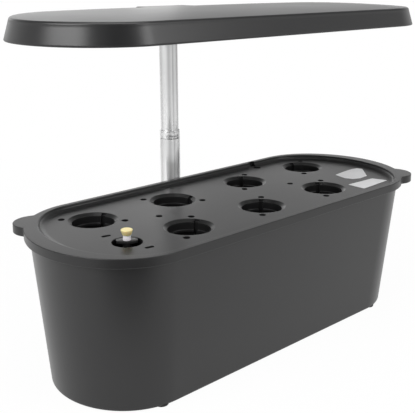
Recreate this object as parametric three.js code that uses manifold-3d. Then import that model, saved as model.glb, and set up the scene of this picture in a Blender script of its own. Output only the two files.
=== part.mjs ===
// Countertop hydroponic garden: an oval water tank on four feet, a lift-off planting deck
// with seven keyed holes, a level float in the fill port, a circulation pump in the tank,
// and an oval lamp hood on a telescopic mast that stands in a socket behind the tank.
// Millimetres, +Z up, +X along the tank, +Y towards the mast.
// The origin is the middle of the whole part's footprint, on the plane it stands on.

import * as THREE from 'three';
import { mergeVertices } from 'three/addons/utils/BufferGeometryUtils.js';
import Module from 'manifold-3d';

// Clearances and facets
const gap = 0.3; // between pieces that touch or fit together
const overrun = 2; // how far a cutter runs past what it cuts
const endSegments = 18; // facets of each rounded end of the tank, deck and hood
const holeSegments = 20; // facets of the planting holes and the mast
const smallSegments = 12; // facets of pins, feet and small bores
const screwSegments = 8; // facets of screws and air holes

// Feet
const footHeight = 1.8;
const footRadius = 5.5;
const footChamfer = 0.5;
const footPegRadius = 2;
const footPegHeight = 1.6;
const footInsetX = 44.3; // from the end of the tank's base
const footInsetY = 8.5;

// Tank
const tankBaseHalfLength = 168.3;
const tankBaseHalfWidth = 58.5;
const tankBaseEndShare = 0.9; // depth of a rounded end as a share of the half width
const tankDraftX = 8.5; // how much further the mouth reaches than the base
const tankDraftY = 9.2;
const tankTopEndShare = 0.883;
const tankHeight = 110.9;
const tankWall = 2.6;
const tankFloor = 3;
const tankBaseRadius = 1.5; // rounding of the outer lower edge
const tankFloorRadius = 6; // rounding between the floor and the wall
const tankBeadHeight = 1.6; // stiffening bead round the mouth
const tankBeadReach = 0.4;

// Planting deck
const rimReachX = 3.2; // how far the rim stands out past the tank's mouth
const rimReachY = 3.3;
const rimEndShare = 0.883;
const rimBandHeight = 6.7;
const rimOverlap = 0.3; // the band hangs this far below the tank's mouth
const rimRadius = 0.9; // rounding of the band's upper and lower edges
const rimDraft = 1.2; // how much the band leans in towards its top
const rimFlatWidth = 4.4;
const deckRecess = 3.8; // rim top to deck surface
const deckCoveRadius = 2;
const deckThickness = 2.3;
const skirtDepth = 5;
const skirtWall = 1.6;
const tabInsetX = 24; // tab's centre inside the rim's end and side
const tabInsetY = 22.5;
const tabRadius = 14.8;

// Planting holes: four in the back row, three in the front row
const holeRowCentreX = 3;
const holeBackYShare = 0.4451; // of the rim's half width
const holeFrontYShare = -0.4056;
const holeBackInnerShare = 0.2294; // of the rim's half length
const holeBackOuterShare = 0.6606;
const holeFrontOuterShare = 0.425;
const holeThroatRadius = 16;
const holeMouthRadius = 18.2;
const holeMouthDepth = 1.9;
const holeCollarWall = 1.8;
const holeCollarDepth = 20;
const holeLedgeDepth = 7.5;
const holeLedgeHeight = 1.6;
const holeLedgeWidth = 1.7;
const keyWidth = 3.6;
const keyReach = 1.2; // how far the key slot bites into the collar
const keyDepth = 12;
// Where each hole's key slot lies, in degrees: the back row from the left, then the front row
const keyTurns = [28, -6, 56, 76, 30, 46, 56];

// Air holes and slots
const ventRadius = 2.3;
const ventReach = 24; // distance from a planting hole's centre
const loneVentLeftShare = -0.4094; // of the rim's half length
const loneVentLeftY = 5.5;
const loneVentRightShare = 0.3833;
const loneVentRightY = -0.2;
const slotHalfLength = 3.9;
const slotHalfWidth = 1.5;
const slotTurn = THREE.MathUtils.degToRad(-7);
const slotBackX = -3.5; // from the fill port's centre
const slotBackY = 20;
const slotFrontX = 5;
const slotFrontY = -18.4;

// Fill port and float guide
const portEndInset = 53.8; // from the rim's end
const portY = -24.8;
const portRadius = 10.75;
const portCollarWall = 1.8;
const portCollarDepth = 8;
const tongueHalfWidth = 6.4;
const tongueTurn = THREE.MathUtils.degToRad(55); // where the tongue's root lies
const floatOffset = 4.4; // float's axis from the port's centre, towards the root
const tongueSink = 0.4; // tongue's top below the deck surface
const tongueThickness = 1.6;
const sleeveWall = 1.8;
const sleeveLength = 12;

// Cable way at the back of the deck
const cableEndInset = 91; // from the rim's end
const cableNotchHalfWidth = 3;
const cableHoleRadius = 3.3;
const cableHoleInset = 4.5; // from the foot of the rim's inner wall to the hole's centre

// Level float
const floatRodRadius = 1.9;
const floatStemRadius = 2.6;
const floatStemHeight = 2.9; // visible stem, from the tongue to the cap
const floatCapRadius = 4.1;
const floatCapNeckRadius = 3.1;
const floatCapTaper = 1.8;
const floatCapHeight = 5;
const floatCapDome = 0.7;
const floatCapSocketDepth = 2.6;
const floatSpigotRadius = 1.6;
const floatTravel = 20;
const floatBodyRadius = 9;
const floatBodyHeight = 26;
const floatBodyChamfer = 1.5;
const floatHeadRadius = 3.4;
const floatHeadHeight = 1.6;
const travelMargin = 1.2; // left free past the end of a travel

// Mast
const mastSetback = 12.8; // mast's axis behind the tank's mouth
const upperTubeRadius = 7.75;
const upperTubeWall = 0.7;
const tubeClearance = 0.3;
const lowerTubeWall = 0.65;
const collarTop = 159.4; // above the tank's bottom
const collarHeight = 7;
const collarChamfer = 0.5;
const socketWall = 3.4;
const socketDrop = 12.9; // socket's top below the tank's mouth
const socketFloor = 6;
const socketWebHalfWidth = 9;
const plugFlangeHeight = 1.5;
const plugHeight = 8;
const hoodStop = 28.8; // left between the collar and the hood at its lowest
const frictionHeadHeight = 6;
const frictionSpigotHeight = 12;
const frictionClearance = 0.15;

// Lamp hood
const hoodBottom = 248.2; // above the tank's bottom
const hoodOverhang = 4.3; // how far the hood reaches past the rim's end
const hoodMastSetback = 16.5; // mast's axis behind the hood's lower edge
const hoodDraftX = 3.7; // how much further the lower edge reaches than the shoulder
const hoodDraftY = 3.6;
const hoodEndShare = 0.85;
const hoodSideHeight = 12.1;
const hoodRadius = 2.1;
const hoodCrown = 3.8;
const hoodCrownPower = 3.5; // how early the crown levels out
const hoodCrownSteps = 6;
const hoodLipRadius = 0.8;
const hoodWall = 2.6;
const hoodCeiling = 2.8;
const hoodRoof = 5; // from the lamp's space to the crown's top
const bossHalfWidth = 27;
const bossReach = 12.5; // from the mast's axis to the boss's back face
const bossCorner = 5;
const bossTopRadius = 2.4;
const bossTopDrop = 2.5; // boss top below the hood's crown
const mastSeatDepth = 11.5; // how deep the upper tube sits in the boss
const postRadius = 3.6;
const postInsetX = 62.6; // from the shoulder's end and side
const postInsetY = 12.4;

// Lamp underside
const frameHeight = 1.7;
const frameWidth = 21;
const frameLift = 2.2; // frame's face above the hood's lower edge
const diffuserThickness = 2;
const ledLift = 1.5; // diffuser to board
const ledHeight = 0.9;
const ledHalfSize = 1.75;
const ledColumns = 10;
const ledRows = 4;
const ledPitchXShare = 0.16722; // of the shoulder's half length
const ledPitchYShare = 0.33557; // of the shoulder's half width
const ledBoardThickness = 1.4;
const ledBoardInset = 4; // board's edge inside the hood's inner wall

// Driver board
const driverHalfLength = 38;
const driverHalfWidth = 14;
const driverThickness = 0.9;
const driverPartHeight = 1.6;
const driverY = 18;
const chipHalfLengthShares = [0.2, 0.13, 0.1];
const chipHalfWidthShares = [0.5, 0.35, 0.6];
const chipPlaceShares = [-0.62, 0.05, 0.6];

// Screws
const screwRadius = 1.5;
const screwHeadRadius = 2.8;
const screwHeadHeight = 1.3;
const hoodScrewLength = 11.5;
const tubeScrewRadius = 1.8;
const tubeScrewHeadRadius = 3.5;
const tubeScrewHeadHeight = 2.4;
const tubeScrewRecess = 4;
const tubeScrewGrip = 6; // length of thread inside the plug
const mastScrewRadius = 2;
const mastScrewSetback = 0.5;

// Mode button and power inlet on the boss
const sideX = 14.5;
const buttonRadius = 3.6;
const buttonClearance = 0.35;
const buttonProud = 1.5;
const buttonTravel = 1.2;
const buttonDish = 0.5;
const buttonChamfer = 0.4;
const switchHalfSize = 2.5;
const switchDepth = 3;
const plungerRadius = 1.2;
const plungerLength = 1.3;
const buttonPocketDepth = 9.2;
const inletHalfWidth = 4.2;
const inletHalfHeight = 4.8;
const inletDepth = 13;
const inletSetback = 0.4;
const inletBoreRadius = 2.8;
const inletBoreDepth = 9;
const inletPinRadius = 1;
const inletPinSetback = 1.2;

// Pump, in its own frame: rotor axis along X, standing on Z = 0
const pumpEndInset = 71.3; // from the end of the tank's base
const pumpY = 8;
const pumpHalfLength = 18;
const pumpHalfWidth = 15;
const pumpBodyHeight = 29;
const pumpCorner = 3.5;
const pumpFootHeight = 3.6;
const pumpFootRadius = 5;
const pumpFootNeckRadius = 2;
const pumpFootNeckHeight = 2.4;
const pumpFootTopShare = 1.6; // top of the sucker as a share of the neck's radius
const pumpFootX = 12;
const pumpFootY = 9;
const chamberRadius = 11;
const chamberDepth = 9.5;
const rotorBoreRadius = 7;
const rotorBoreDepth = 20;
const shaftRadius = 1.3;
const shaftSeatDepth = 3;
const rotorWall = 1; // rotor's running clearance along the shaft
const impellerHubRadius = 4;
const impellerRadius = 9.8;
const impellerDisc = 1;
const bladeHeight = 5;
const bladeThickness = 1.2;
const bladeCount = 6;
const outletRadius = 3.4;
const outletSetback = 5; // outlet's axis behind the chamber's open face
const nozzleWall = 1.7;
const nozzleSeat = 4;
const nozzleReach = 13;
const nozzleBarb = 0.7;
const nozzleBarbCount = 3;
const coverThickness = 2.6;
const coverSlotCount = 5;
const coverSlotHalfWidth = 1;
const coverSlotHalfHeight = 8;
const coverSlotPitch = 4.4;
const coverCrossHalfHeight = 2.8; // solid bar across the slots that carries the shaft
const glandRadius = 3.6;
const glandReach = 7;
const glandSeat = 3;
const glandBoreRadius = 1.7;
const glandRise = 20; // gland's axis above the pump's underside

// Sizes and places that follow from the ones above
const tankTopHalfLength = tankBaseHalfLength + tankDraftX;
const tankTopHalfWidth = tankBaseHalfWidth + tankDraftY;
const footX = tankBaseHalfLength - footInsetX;
const footY = tankBaseHalfWidth - footInsetY;
const pumpX = tankBaseHalfLength - pumpEndInset;
const rimHalfLength = tankTopHalfLength + rimReachX;
const rimHalfWidth = tankTopHalfWidth + rimReachY;
const tabCentreX = rimHalfLength - tabInsetX;
const tabCentreY = rimHalfWidth - tabInsetY;
const holeBackY = rimHalfWidth * holeBackYShare;
const holeFrontY = rimHalfWidth * holeFrontYShare;
const holeBackInnerX = rimHalfLength * holeBackInnerShare;
const holeBackOuterX = rimHalfLength * holeBackOuterShare;
const holeFrontOuterX = rimHalfLength * holeFrontOuterShare;
const portX = portEndInset - rimHalfLength;
const cableX = rimHalfLength - cableEndInset;
const mastY = tankTopHalfWidth + mastSetback;
const hoodBaseHalfLength = rimHalfLength + hoodOverhang;
const hoodBaseHalfWidth = mastY - hoodMastSetback;
const hoodShoulderHalfLength = hoodBaseHalfLength - hoodDraftX;
const hoodShoulderHalfWidth = hoodBaseHalfWidth - hoodDraftY;
const bossBackY = mastY + bossReach;
const postX = hoodShoulderHalfLength - postInsetX;
const postY = hoodShoulderHalfWidth - postInsetY;
const hoodDrop = hoodBottom - collarTop - hoodStop; // how far the hood slides down
const tankBottomZ = footHeight;
const tankTopZ = tankBottomZ + tankHeight;
const tankFloorZ = tankBottomZ + tankFloor;
const rimBottomZ = tankTopZ - rimOverlap;
const rimTopZ = rimBottomZ + rimBandHeight;
const deckTopZ = rimTopZ - deckRecess;
const deckUnderZ = deckTopZ - deckThickness;
const skirtBottomZ = deckUnderZ - skirtDepth;
const lowerTubeRadius = upperTubeRadius + tubeClearance + lowerTubeWall;
const lowerTubeBore = lowerTubeRadius - lowerTubeWall;
const socketRadius = lowerTubeRadius + gap + socketWall;
const socketFloorZ = tankBottomZ + tubeScrewRecess + socketFloor;
const plugFlangeTopZ = socketFloorZ + gap + plugFlangeHeight;
const plugTopZ = plugFlangeTopZ + plugHeight;
const collarTopZ = tankBottomZ + collarTop;
const collarBottomZ = collarTopZ - collarHeight;
const hoodBottomZ = tankBottomZ + hoodBottom;
const hoodShoulderZ = hoodBottomZ + hoodSideHeight;
const hoodTopZ = hoodShoulderZ + hoodRadius + hoodCrown;
const hoodCeilingZ = hoodTopZ - hoodRoof;
const cavityShoulderZ = hoodShoulderZ - hoodCeiling;
const bossTopZ = hoodTopZ - bossTopDrop;
const upperTubeTopZ = hoodBottomZ + mastSeatDepth;
const frictionBottomZ = plugTopZ + hoodDrop + travelMargin;
const upperTubeBottomZ = frictionBottomZ + frictionHeadHeight;
const frameBottomZ = hoodBottomZ + frameLift;
const diffuserBottomZ = frameBottomZ + frameHeight + gap;
const ledBoardBottomZ = diffuserBottomZ + diffuserThickness + ledLift;
const ledBoardTopZ = ledBoardBottomZ + ledBoardThickness;
const tongueTopZ = deckTopZ - tongueSink;
const sleeveBottomZ = tongueTopZ - tongueThickness - sleeveLength;
const floatBodyTopZ = sleeveBottomZ - floatTravel - travelMargin;
const floatX = portX + floatOffset * Math.cos(tongueTurn);
const floatY = portY + floatOffset * Math.sin(tongueTurn);
const bossMidZ = (hoodBottomZ + bossTopZ) / 2;
const buttonFrontY = bossBackY + buttonProud;

const wasm = await Module();
wasm.setup();

// Colours and surface values of the real materials
const finishes = {
  blackShell: { color: 0x3a3b3d, roughness: 0.42, metalness: 0 },
  greyDeck: { color: 0x5c5d5f, roughness: 0.5, metalness: 0 },
  steel: { color: 0xd9dadb, roughness: 0.22, metalness: 1 },
  screwSteel: { color: 0x9a9b9d, roughness: 0.35, metalness: 1 },
  rubber: { color: 0x1d1d1e, roughness: 0.85, metalness: 0 },
  capYellow: { color: 0xf6dc86, roughness: 0.35, metalness: 0 },
  stemWhite: { color: 0xe9e6ea, roughness: 0.4, metalness: 0 },
  foamWhite: { color: 0xf0efe9, roughness: 0.9, metalness: 0 },
  opal: { color: 0xf2f2f0, roughness: 0.45, metalness: 0 },
  board: { color: 0xe4e6e6, roughness: 0.5, metalness: 0.1 },
  greenBoard: { color: 0x1f5a3a, roughness: 0.6, metalness: 0.1 },
  pumpBlack: { color: 0x161718, roughness: 0.5, metalness: 0 },
  ceramic: { color: 0xe8e6e0, roughness: 0.3, metalness: 0 },
  magnet: { color: 0x2c2a29, roughness: 0.55, metalness: 0.2 },
};

// A closed surface with shared vertices, no flat triangles and its faces turned outwards
function closed(geometry) {
  geometry.deleteAttribute('normal');
  geometry.deleteAttribute('uv');
  const merged = mergeVertices(geometry);
  const source = merged.index.array;
  const place = merged.attributes.position;
  const kept = [];
  let volume = 0;
  const a = new THREE.Vector3();
  const b = new THREE.Vector3();
  const c = new THREE.Vector3();
  for (let i = 0; i < source.length; i += 3) {
    const corners = [source[i], source[i + 1], source[i + 2]];
    if (new Set(corners).size < corners.length) continue;
    kept.push(...corners);
    a.fromBufferAttribute(place, corners[0]);
    b.fromBufferAttribute(place, corners[1]);
    c.fromBufferAttribute(place, corners[2]);
    volume += a.dot(b.cross(c));
  }
  if (volume < 0) kept.reverse();
  merged.setIndex(kept);
  return merged;
}

// The same surface as a solid that can be joined and cut
function solid(geometry) {
  const body = closed(geometry);
  const vertProperties = new Float32Array(body.attributes.position.array);
  const triVerts = new Uint32Array(body.index.array);
  return new wasm.Manifold(new wasm.Mesh({ numProp: 3, vertProperties, triVerts }));
}

// A solid's surface as a three.js geometry again
function surface(body) {
  const mesh = body.getMesh();
  const geometry = new THREE.BufferGeometry();
  geometry.setAttribute('position', new THREE.BufferAttribute(new Float32Array(mesh.vertProperties), 3));
  geometry.setIndex(Array.from(mesh.triVerts));
  return geometry;
}

// Oval outline: straight front and back, and a half ellipse at each end
function oval(halfLength, halfWidth, endDepth, segments = endSegments) {
  const points = [];
  for (const side of [1, -1]) {
    for (let i = 0; i <= segments; i += 1) {
      const turn = (i / segments - 1 / 2) * Math.PI;
      const x = side * (halfLength - endDepth + endDepth * Math.cos(turn));
      const y = side * halfWidth * Math.sin(turn);
      points.push(new THREE.Vector2(x, y));
    }
  }
  return points;
}

// Rectangle outline with rounded corners, round the point (x, y)
function roundedBlock(halfLength, halfWidth, corner, x = 0, y = 0) {
  const points = [];
  const cornerSteps = smallSegments / 4;
  const centres = [[1, -1], [1, 1], [-1, 1], [-1, -1]];
  centres.forEach(([signX, signY], quarter) => {
    for (let i = 0; i <= cornerSteps; i += 1) {
      const turn = (quarter - 1 + i / cornerSteps) * (Math.PI / 2);
      const px = x + signX * (halfLength - corner) + corner * Math.cos(turn);
      const py = y + signY * (halfWidth - corner) + corner * Math.sin(turn);
      points.push(new THREE.Vector2(px, py));
    }
  });
  return points;
}

// Surface carried through a list of [outline, height], closed by a flat cap at each end
function loft(levels) {
  const count = levels[0][0].length;
  const positions = [];
  const index = [];
  for (const [outline, z] of levels) {
    outline.forEach((point) => positions.push(point.x, point.y, z));
  }
  for (let level = 0; level < levels.length - 1; level += 1) {
    for (let i = 0; i < count; i += 1) {
      const next = (i + 1) % count;
      const low = level * count;
      const high = low + count;
      index.push(low + i, low + next, high + next);
      index.push(low + i, high + next, high + i);
    }
  }
  const last = (levels.length - 1) * count;
  for (let i = 1; i < count - 1; i += 1) {
    index.push(0, i + 1, i);
    index.push(last, last + i, last + i + 1);
  }
  const geometry = new THREE.BufferGeometry();
  geometry.setAttribute('position', new THREE.Float32BufferAttribute(positions, 3));
  geometry.setIndex(index);
  return geometry;
}

// Straight prism of an outline between two heights
function prism(outline, bottomZ, topZ) {
  const shape = new THREE.Shape(outline);
  const body = new THREE.ExtrudeGeometry(shape, { depth: topZ - bottomZ, bevelEnabled: false });
  body.translate(0, 0, bottomZ);
  return body;
}

function block(halfX, halfY, bottomZ, topZ) {
  const body = new THREE.BoxGeometry(2 * halfX, 2 * halfY, topZ - bottomZ);
  body.translate(0, 0, (bottomZ + topZ) / 2);
  return body;
}

// Solid of revolution about Z from [radius, height] pairs that run once round the section
function revolve(profile, segments) {
  const points = profile.map(([radius, z]) => new THREE.Vector2(radius, z));
  if (profile[0][0] > 0) points.push(points[0].clone());
  const body = new THREE.LatheGeometry(points, segments);
  body.rotateX(Math.PI / 2);
  return body;
}

function rod(radius, bottomZ, topZ, segments) {
  return revolve([[0, bottomZ], [radius, bottomZ], [radius, topZ], [0, topZ]], segments);
}

function tube(outer, inner, bottomZ, topZ, segments) {
  return revolve([[inner, bottomZ], [outer, bottomZ], [outer, topZ], [inner, topZ]], segments);
}

function moved(geometry, x, y, z = 0) {
  geometry.translate(x, y, z);
  return geometry;
}

// A body of revolution laid along X (its Z becomes X) or facing back (its Z becomes Y)
function alongX(geometry) {
  geometry.rotateY(Math.PI / 2);
  return geometry;
}

function facingBack(geometry) {
  geometry.rotateX(-Math.PI / 2);
  return geometry;
}

function addPiece(group, name, geometry, finish) {
  const material = new THREE.MeshStandardMaterial({ ...finish, flatShading: true });
  const mesh = new THREE.Mesh(closed(geometry), material);
  mesh.name = name;
  group.add(mesh);
  return mesh;
}

const garden = new THREE.Group();
const base = new THREE.Group();
const deck = new THREE.Group();
const float = new THREE.Group();
const hood = new THREE.Group();
const pump = new THREE.Group();
garden.add(base, deck, float, hood, pump);

// Tank

// Tank outline at a height above the tank's bottom, drawn in by an inset
function tankOutline(height, inset) {
  const share = height / tankHeight;
  const halfLength = THREE.MathUtils.lerp(tankBaseHalfLength, tankTopHalfLength, share) - inset;
  const halfWidth = THREE.MathUtils.lerp(tankBaseHalfWidth, tankTopHalfWidth, share) - inset;
  const endShare = THREE.MathUtils.lerp(tankBaseEndShare, tankTopEndShare, share);
  return oval(halfLength, halfWidth, halfWidth * endShare);
}

// Levels of a quarter round between the angles 0 and 90 degrees
function quarterSteps(count) {
  return Array.from({ length: count + 1 }, (_, i) => (i / count) * (Math.PI / 2));
}

function makeTank() {
  const outerLevels = [];
  for (const turn of quarterSteps(2)) {
    const rise = tankBaseRadius * (1 - Math.cos(turn));
    outerLevels.push([tankOutline(rise, tankBaseRadius * (1 - Math.sin(turn))), tankBottomZ + rise]);
  }
  const beadBottom = tankHeight - tankBeadHeight;
  outerLevels.push([tankOutline(beadBottom - tankBeadReach, 0), tankTopZ - tankBeadHeight - tankBeadReach]);
  outerLevels.push([tankOutline(beadBottom, -tankBeadReach), tankTopZ - tankBeadHeight]);
  outerLevels.push([tankOutline(tankHeight - tankBeadReach, -tankBeadReach), tankTopZ - tankBeadReach]);
  outerLevels.push([tankOutline(tankHeight, 0), tankTopZ]);
  const cavityLevels = [];
  for (const turn of quarterSteps(3)) {
    const rise = tankFloorRadius * (1 - Math.cos(turn));
    const inset = tankWall + tankFloorRadius * (1 - Math.sin(turn));
    cavityLevels.push([tankOutline(tankFloor + rise, inset), tankFloorZ + rise]);
  }
  cavityLevels.push([tankOutline(tankHeight, tankWall), tankTopZ + overrun]);
  const socketTopZ = tankTopZ - socketDrop;
  const web = block(socketWebHalfWidth, socketRadius, tankBottomZ, socketTopZ);
  const boreTopZ = socketTopZ + overrun;
  let body = solid(loft(outerLevels));
  body = body.add(solid(moved(rod(socketRadius, tankBottomZ, socketTopZ, holeSegments), 0, mastY)));
  body = body.add(solid(moved(web, 0, mastY - socketRadius)));
  body = body.subtract(solid(loft(cavityLevels)));
  const tubeBore = rod(lowerTubeRadius + gap, socketFloorZ, boreTopZ, holeSegments);
  body = body.subtract(solid(moved(tubeBore, 0, mastY)));
  const recessTopZ = tankBottomZ + tubeScrewRecess;
  const recess = rod(tubeScrewHeadRadius + gap, tankBottomZ - overrun, recessTopZ, smallSegments);
  body = body.subtract(solid(moved(recess, 0, mastY)));
  const shankHole = rod(tubeScrewRadius + gap, tankBottomZ, socketFloorZ + overrun, smallSegments);
  body = body.subtract(solid(moved(shankHole, 0, mastY)));
  const pegTopZ = tankBottomZ + footPegHeight + gap;
  for (const [x, y] of footPlaces()) {
    const pegHole = rod(footPegRadius + gap, tankBottomZ - overrun, pegTopZ, smallSegments);
    body = body.subtract(solid(moved(pegHole, x, y)));
  }
  addPiece(base, 'tank', surface(body), finishes.blackShell);
}

// Feet

function footPlaces() {
  return [[-footX, -footY], [footX, -footY], [-footX, footY], [footX, footY]];
}

function makeFeet() {
  const faceZ = tankBottomZ - gap;
  const profile = [
    [0, 0],
    [footRadius - footChamfer, 0],
    [footRadius, footChamfer],
    [footRadius, faceZ],
    [footPegRadius, faceZ],
    [footPegRadius, tankBottomZ + footPegHeight],
    [0, tankBottomZ + footPegHeight],
  ];
  footPlaces().forEach(([x, y], i) => {
    addPiece(base, `foot_${i + 1}`, moved(revolve(profile, smallSegments), x, y), finishes.rubber);
  });
}

// Lower mast

function makeLowerMast() {
  const collarSeatZ = collarBottomZ - gap;
  const tubeBottomZ = plugFlangeTopZ + gap;
  const lowerTube = tube(lowerTubeRadius, lowerTubeBore, tubeBottomZ, collarSeatZ, holeSegments);
  addPiece(base, 'lower_tube', moved(lowerTube, 0, mastY), finishes.steel);
  const collar = revolve([
    [lowerTubeBore, collarBottomZ],
    [lowerTubeRadius, collarBottomZ],
    [lowerTubeRadius, collarTopZ - collarChamfer],
    [lowerTubeRadius - collarChamfer, collarTopZ],
    [lowerTubeBore, collarTopZ],
  ], holeSegments);
  addPiece(base, 'tube_collar', moved(collar, 0, mastY), finishes.steel);
  const plugHoleRadius = tubeScrewRadius + gap;
  const plugBottomZ = socketFloorZ + gap;
  const plug = revolve([
    [plugHoleRadius, plugBottomZ],
    [lowerTubeRadius, plugBottomZ],
    [lowerTubeRadius, plugFlangeTopZ],
    [lowerTubeBore - gap, plugFlangeTopZ],
    [lowerTubeBore - gap, plugTopZ],
    [plugHoleRadius, plugTopZ],
  ], holeSegments);
  addPiece(base, 'tube_plug', moved(plug, 0, mastY), finishes.pumpBlack);
  const headTopZ = tankBottomZ + tubeScrewRecess - gap;
  const screw = revolve([
    [0, headTopZ - tubeScrewHeadHeight],
    [tubeScrewHeadRadius, headTopZ - tubeScrewHeadHeight],
    [tubeScrewHeadRadius, headTopZ],
    [tubeScrewRadius, headTopZ],
    [tubeScrewRadius, plugBottomZ + tubeScrewGrip],
    [0, plugBottomZ + tubeScrewGrip],
  ], smallSegments);
  addPiece(base, 'tube_screw', moved(screw, 0, mastY), finishes.screwSteel);
}

// Planting deck

function rimOutline(inset) {
  const halfWidth = rimHalfWidth - inset;
  return oval(rimHalfLength - inset, halfWidth, rimHalfWidth * rimEndShare - inset);
}

function tankMouthOutline(inset) {
  return tankOutline(tankHeight, inset);
}

// Seven holes: [x, y, side of the diagonal that its air holes lie on]
function holePlaces() {
  return [
    [holeRowCentreX - holeBackOuterX, holeBackY, -1],
    [holeRowCentreX - holeBackInnerX, holeBackY, -1],
    [holeRowCentreX + holeBackInnerX, holeBackY, 1],
    [holeRowCentreX + holeBackOuterX, holeBackY, 1],
    [holeRowCentreX - holeFrontOuterX, holeFrontY, 1],
    [holeRowCentreX, holeFrontY, 1],
    [holeRowCentreX + holeFrontOuterX, holeFrontY, 1],
  ];
}

function ventPlaces() {
  const places = [
    [rimHalfLength * loneVentLeftShare, loneVentLeftY],
    [rimHalfLength * loneVentRightShare, loneVentRightY],
  ];
  const reach = ventReach * Math.SQRT1_2;
  for (const [x, y, diagonal] of holePlaces()) {
    places.push([x + reach, y + diagonal * reach]);
    places.push([x - reach, y - diagonal * reach]);
  }
  return places;
}

function roundedSlot() {
  const outline = oval(slotHalfLength, slotHalfWidth, slotHalfWidth, screwSegments);
  const slot = prism(outline, deckUnderZ - overrun, deckTopZ + overrun);
  slot.rotateZ(slotTurn);
  return slot;
}

// Collar of one planting hole: a hanging tube with a ledge that stops the basket's rim
function holeCollar() {
  const outer = holeThroatRadius + holeCollarWall;
  const ledgeTopZ = deckTopZ - holeLedgeDepth;
  const ledgeInner = holeThroatRadius - holeLedgeWidth;
  return revolve([
    [holeThroatRadius, deckTopZ - holeCollarDepth],
    [outer, deckTopZ - holeCollarDepth],
    [outer, deckTopZ - holeMouthDepth],
    [holeThroatRadius, deckTopZ - holeMouthDepth],
    [holeThroatRadius, ledgeTopZ],
    [ledgeInner, ledgeTopZ],
    [ledgeInner, ledgeTopZ - holeLedgeHeight],
    [holeThroatRadius, ledgeTopZ - holeLedgeHeight],
  ], holeSegments);
}

// What the mould's core takes out of the deck plate above each collar
function holeCutter() {
  const topZ = deckTopZ + overrun;
  return revolve([
    [0, deckUnderZ - gap],
    [holeThroatRadius, deckUnderZ - gap],
    [holeThroatRadius, deckTopZ - holeMouthDepth],
    [holeMouthRadius, deckTopZ],
    [holeMouthRadius, topZ],
    [0, topZ],
  ], holeSegments);
}

function keyCutter(degrees) {
  const reach = holeThroatRadius + keyReach;
  const inner = holeThroatRadius / 2;
  const cutter = block((reach - inner) / 2, keyWidth / 2, deckTopZ - keyDepth, deckTopZ + overrun);
  cutter.translate((reach + inner) / 2, 0, 0);
  cutter.rotateZ(THREE.MathUtils.degToRad(degrees));
  return cutter;
}

// Tongue from the port's wall to past the float's axis, with a guide sleeve below it
function floatGuide() {
  const outline = [
    new THREE.Vector2(portRadius, -tongueHalfWidth),
    new THREE.Vector2(portRadius, tongueHalfWidth),
  ];
  for (let i = 0; i <= smallSegments; i += 1) {
    const turn = Math.PI * (1 / 2 + i / smallSegments);
    const x = floatOffset + tongueHalfWidth * Math.cos(turn);
    outline.push(new THREE.Vector2(x, tongueHalfWidth * Math.sin(turn)));
  }
  const tongueGeometry = prism(outline, tongueTopZ - tongueThickness, tongueTopZ);
  tongueGeometry.rotateZ(tongueTurn);
  const tongue = solid(moved(tongueGeometry, portX, portY));
  const bore = floatRodRadius + gap;
  const sleeve = rod(bore + sleeveWall, sleeveBottomZ, tongueTopZ - tongueThickness / 2, smallSegments);
  const way = rod(bore, sleeveBottomZ - overrun, tongueTopZ + overrun, smallSegments);
  return tongue.add(solid(moved(sleeve, floatX, floatY))).subtract(solid(moved(way, floatX, floatY)));
}

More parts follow.
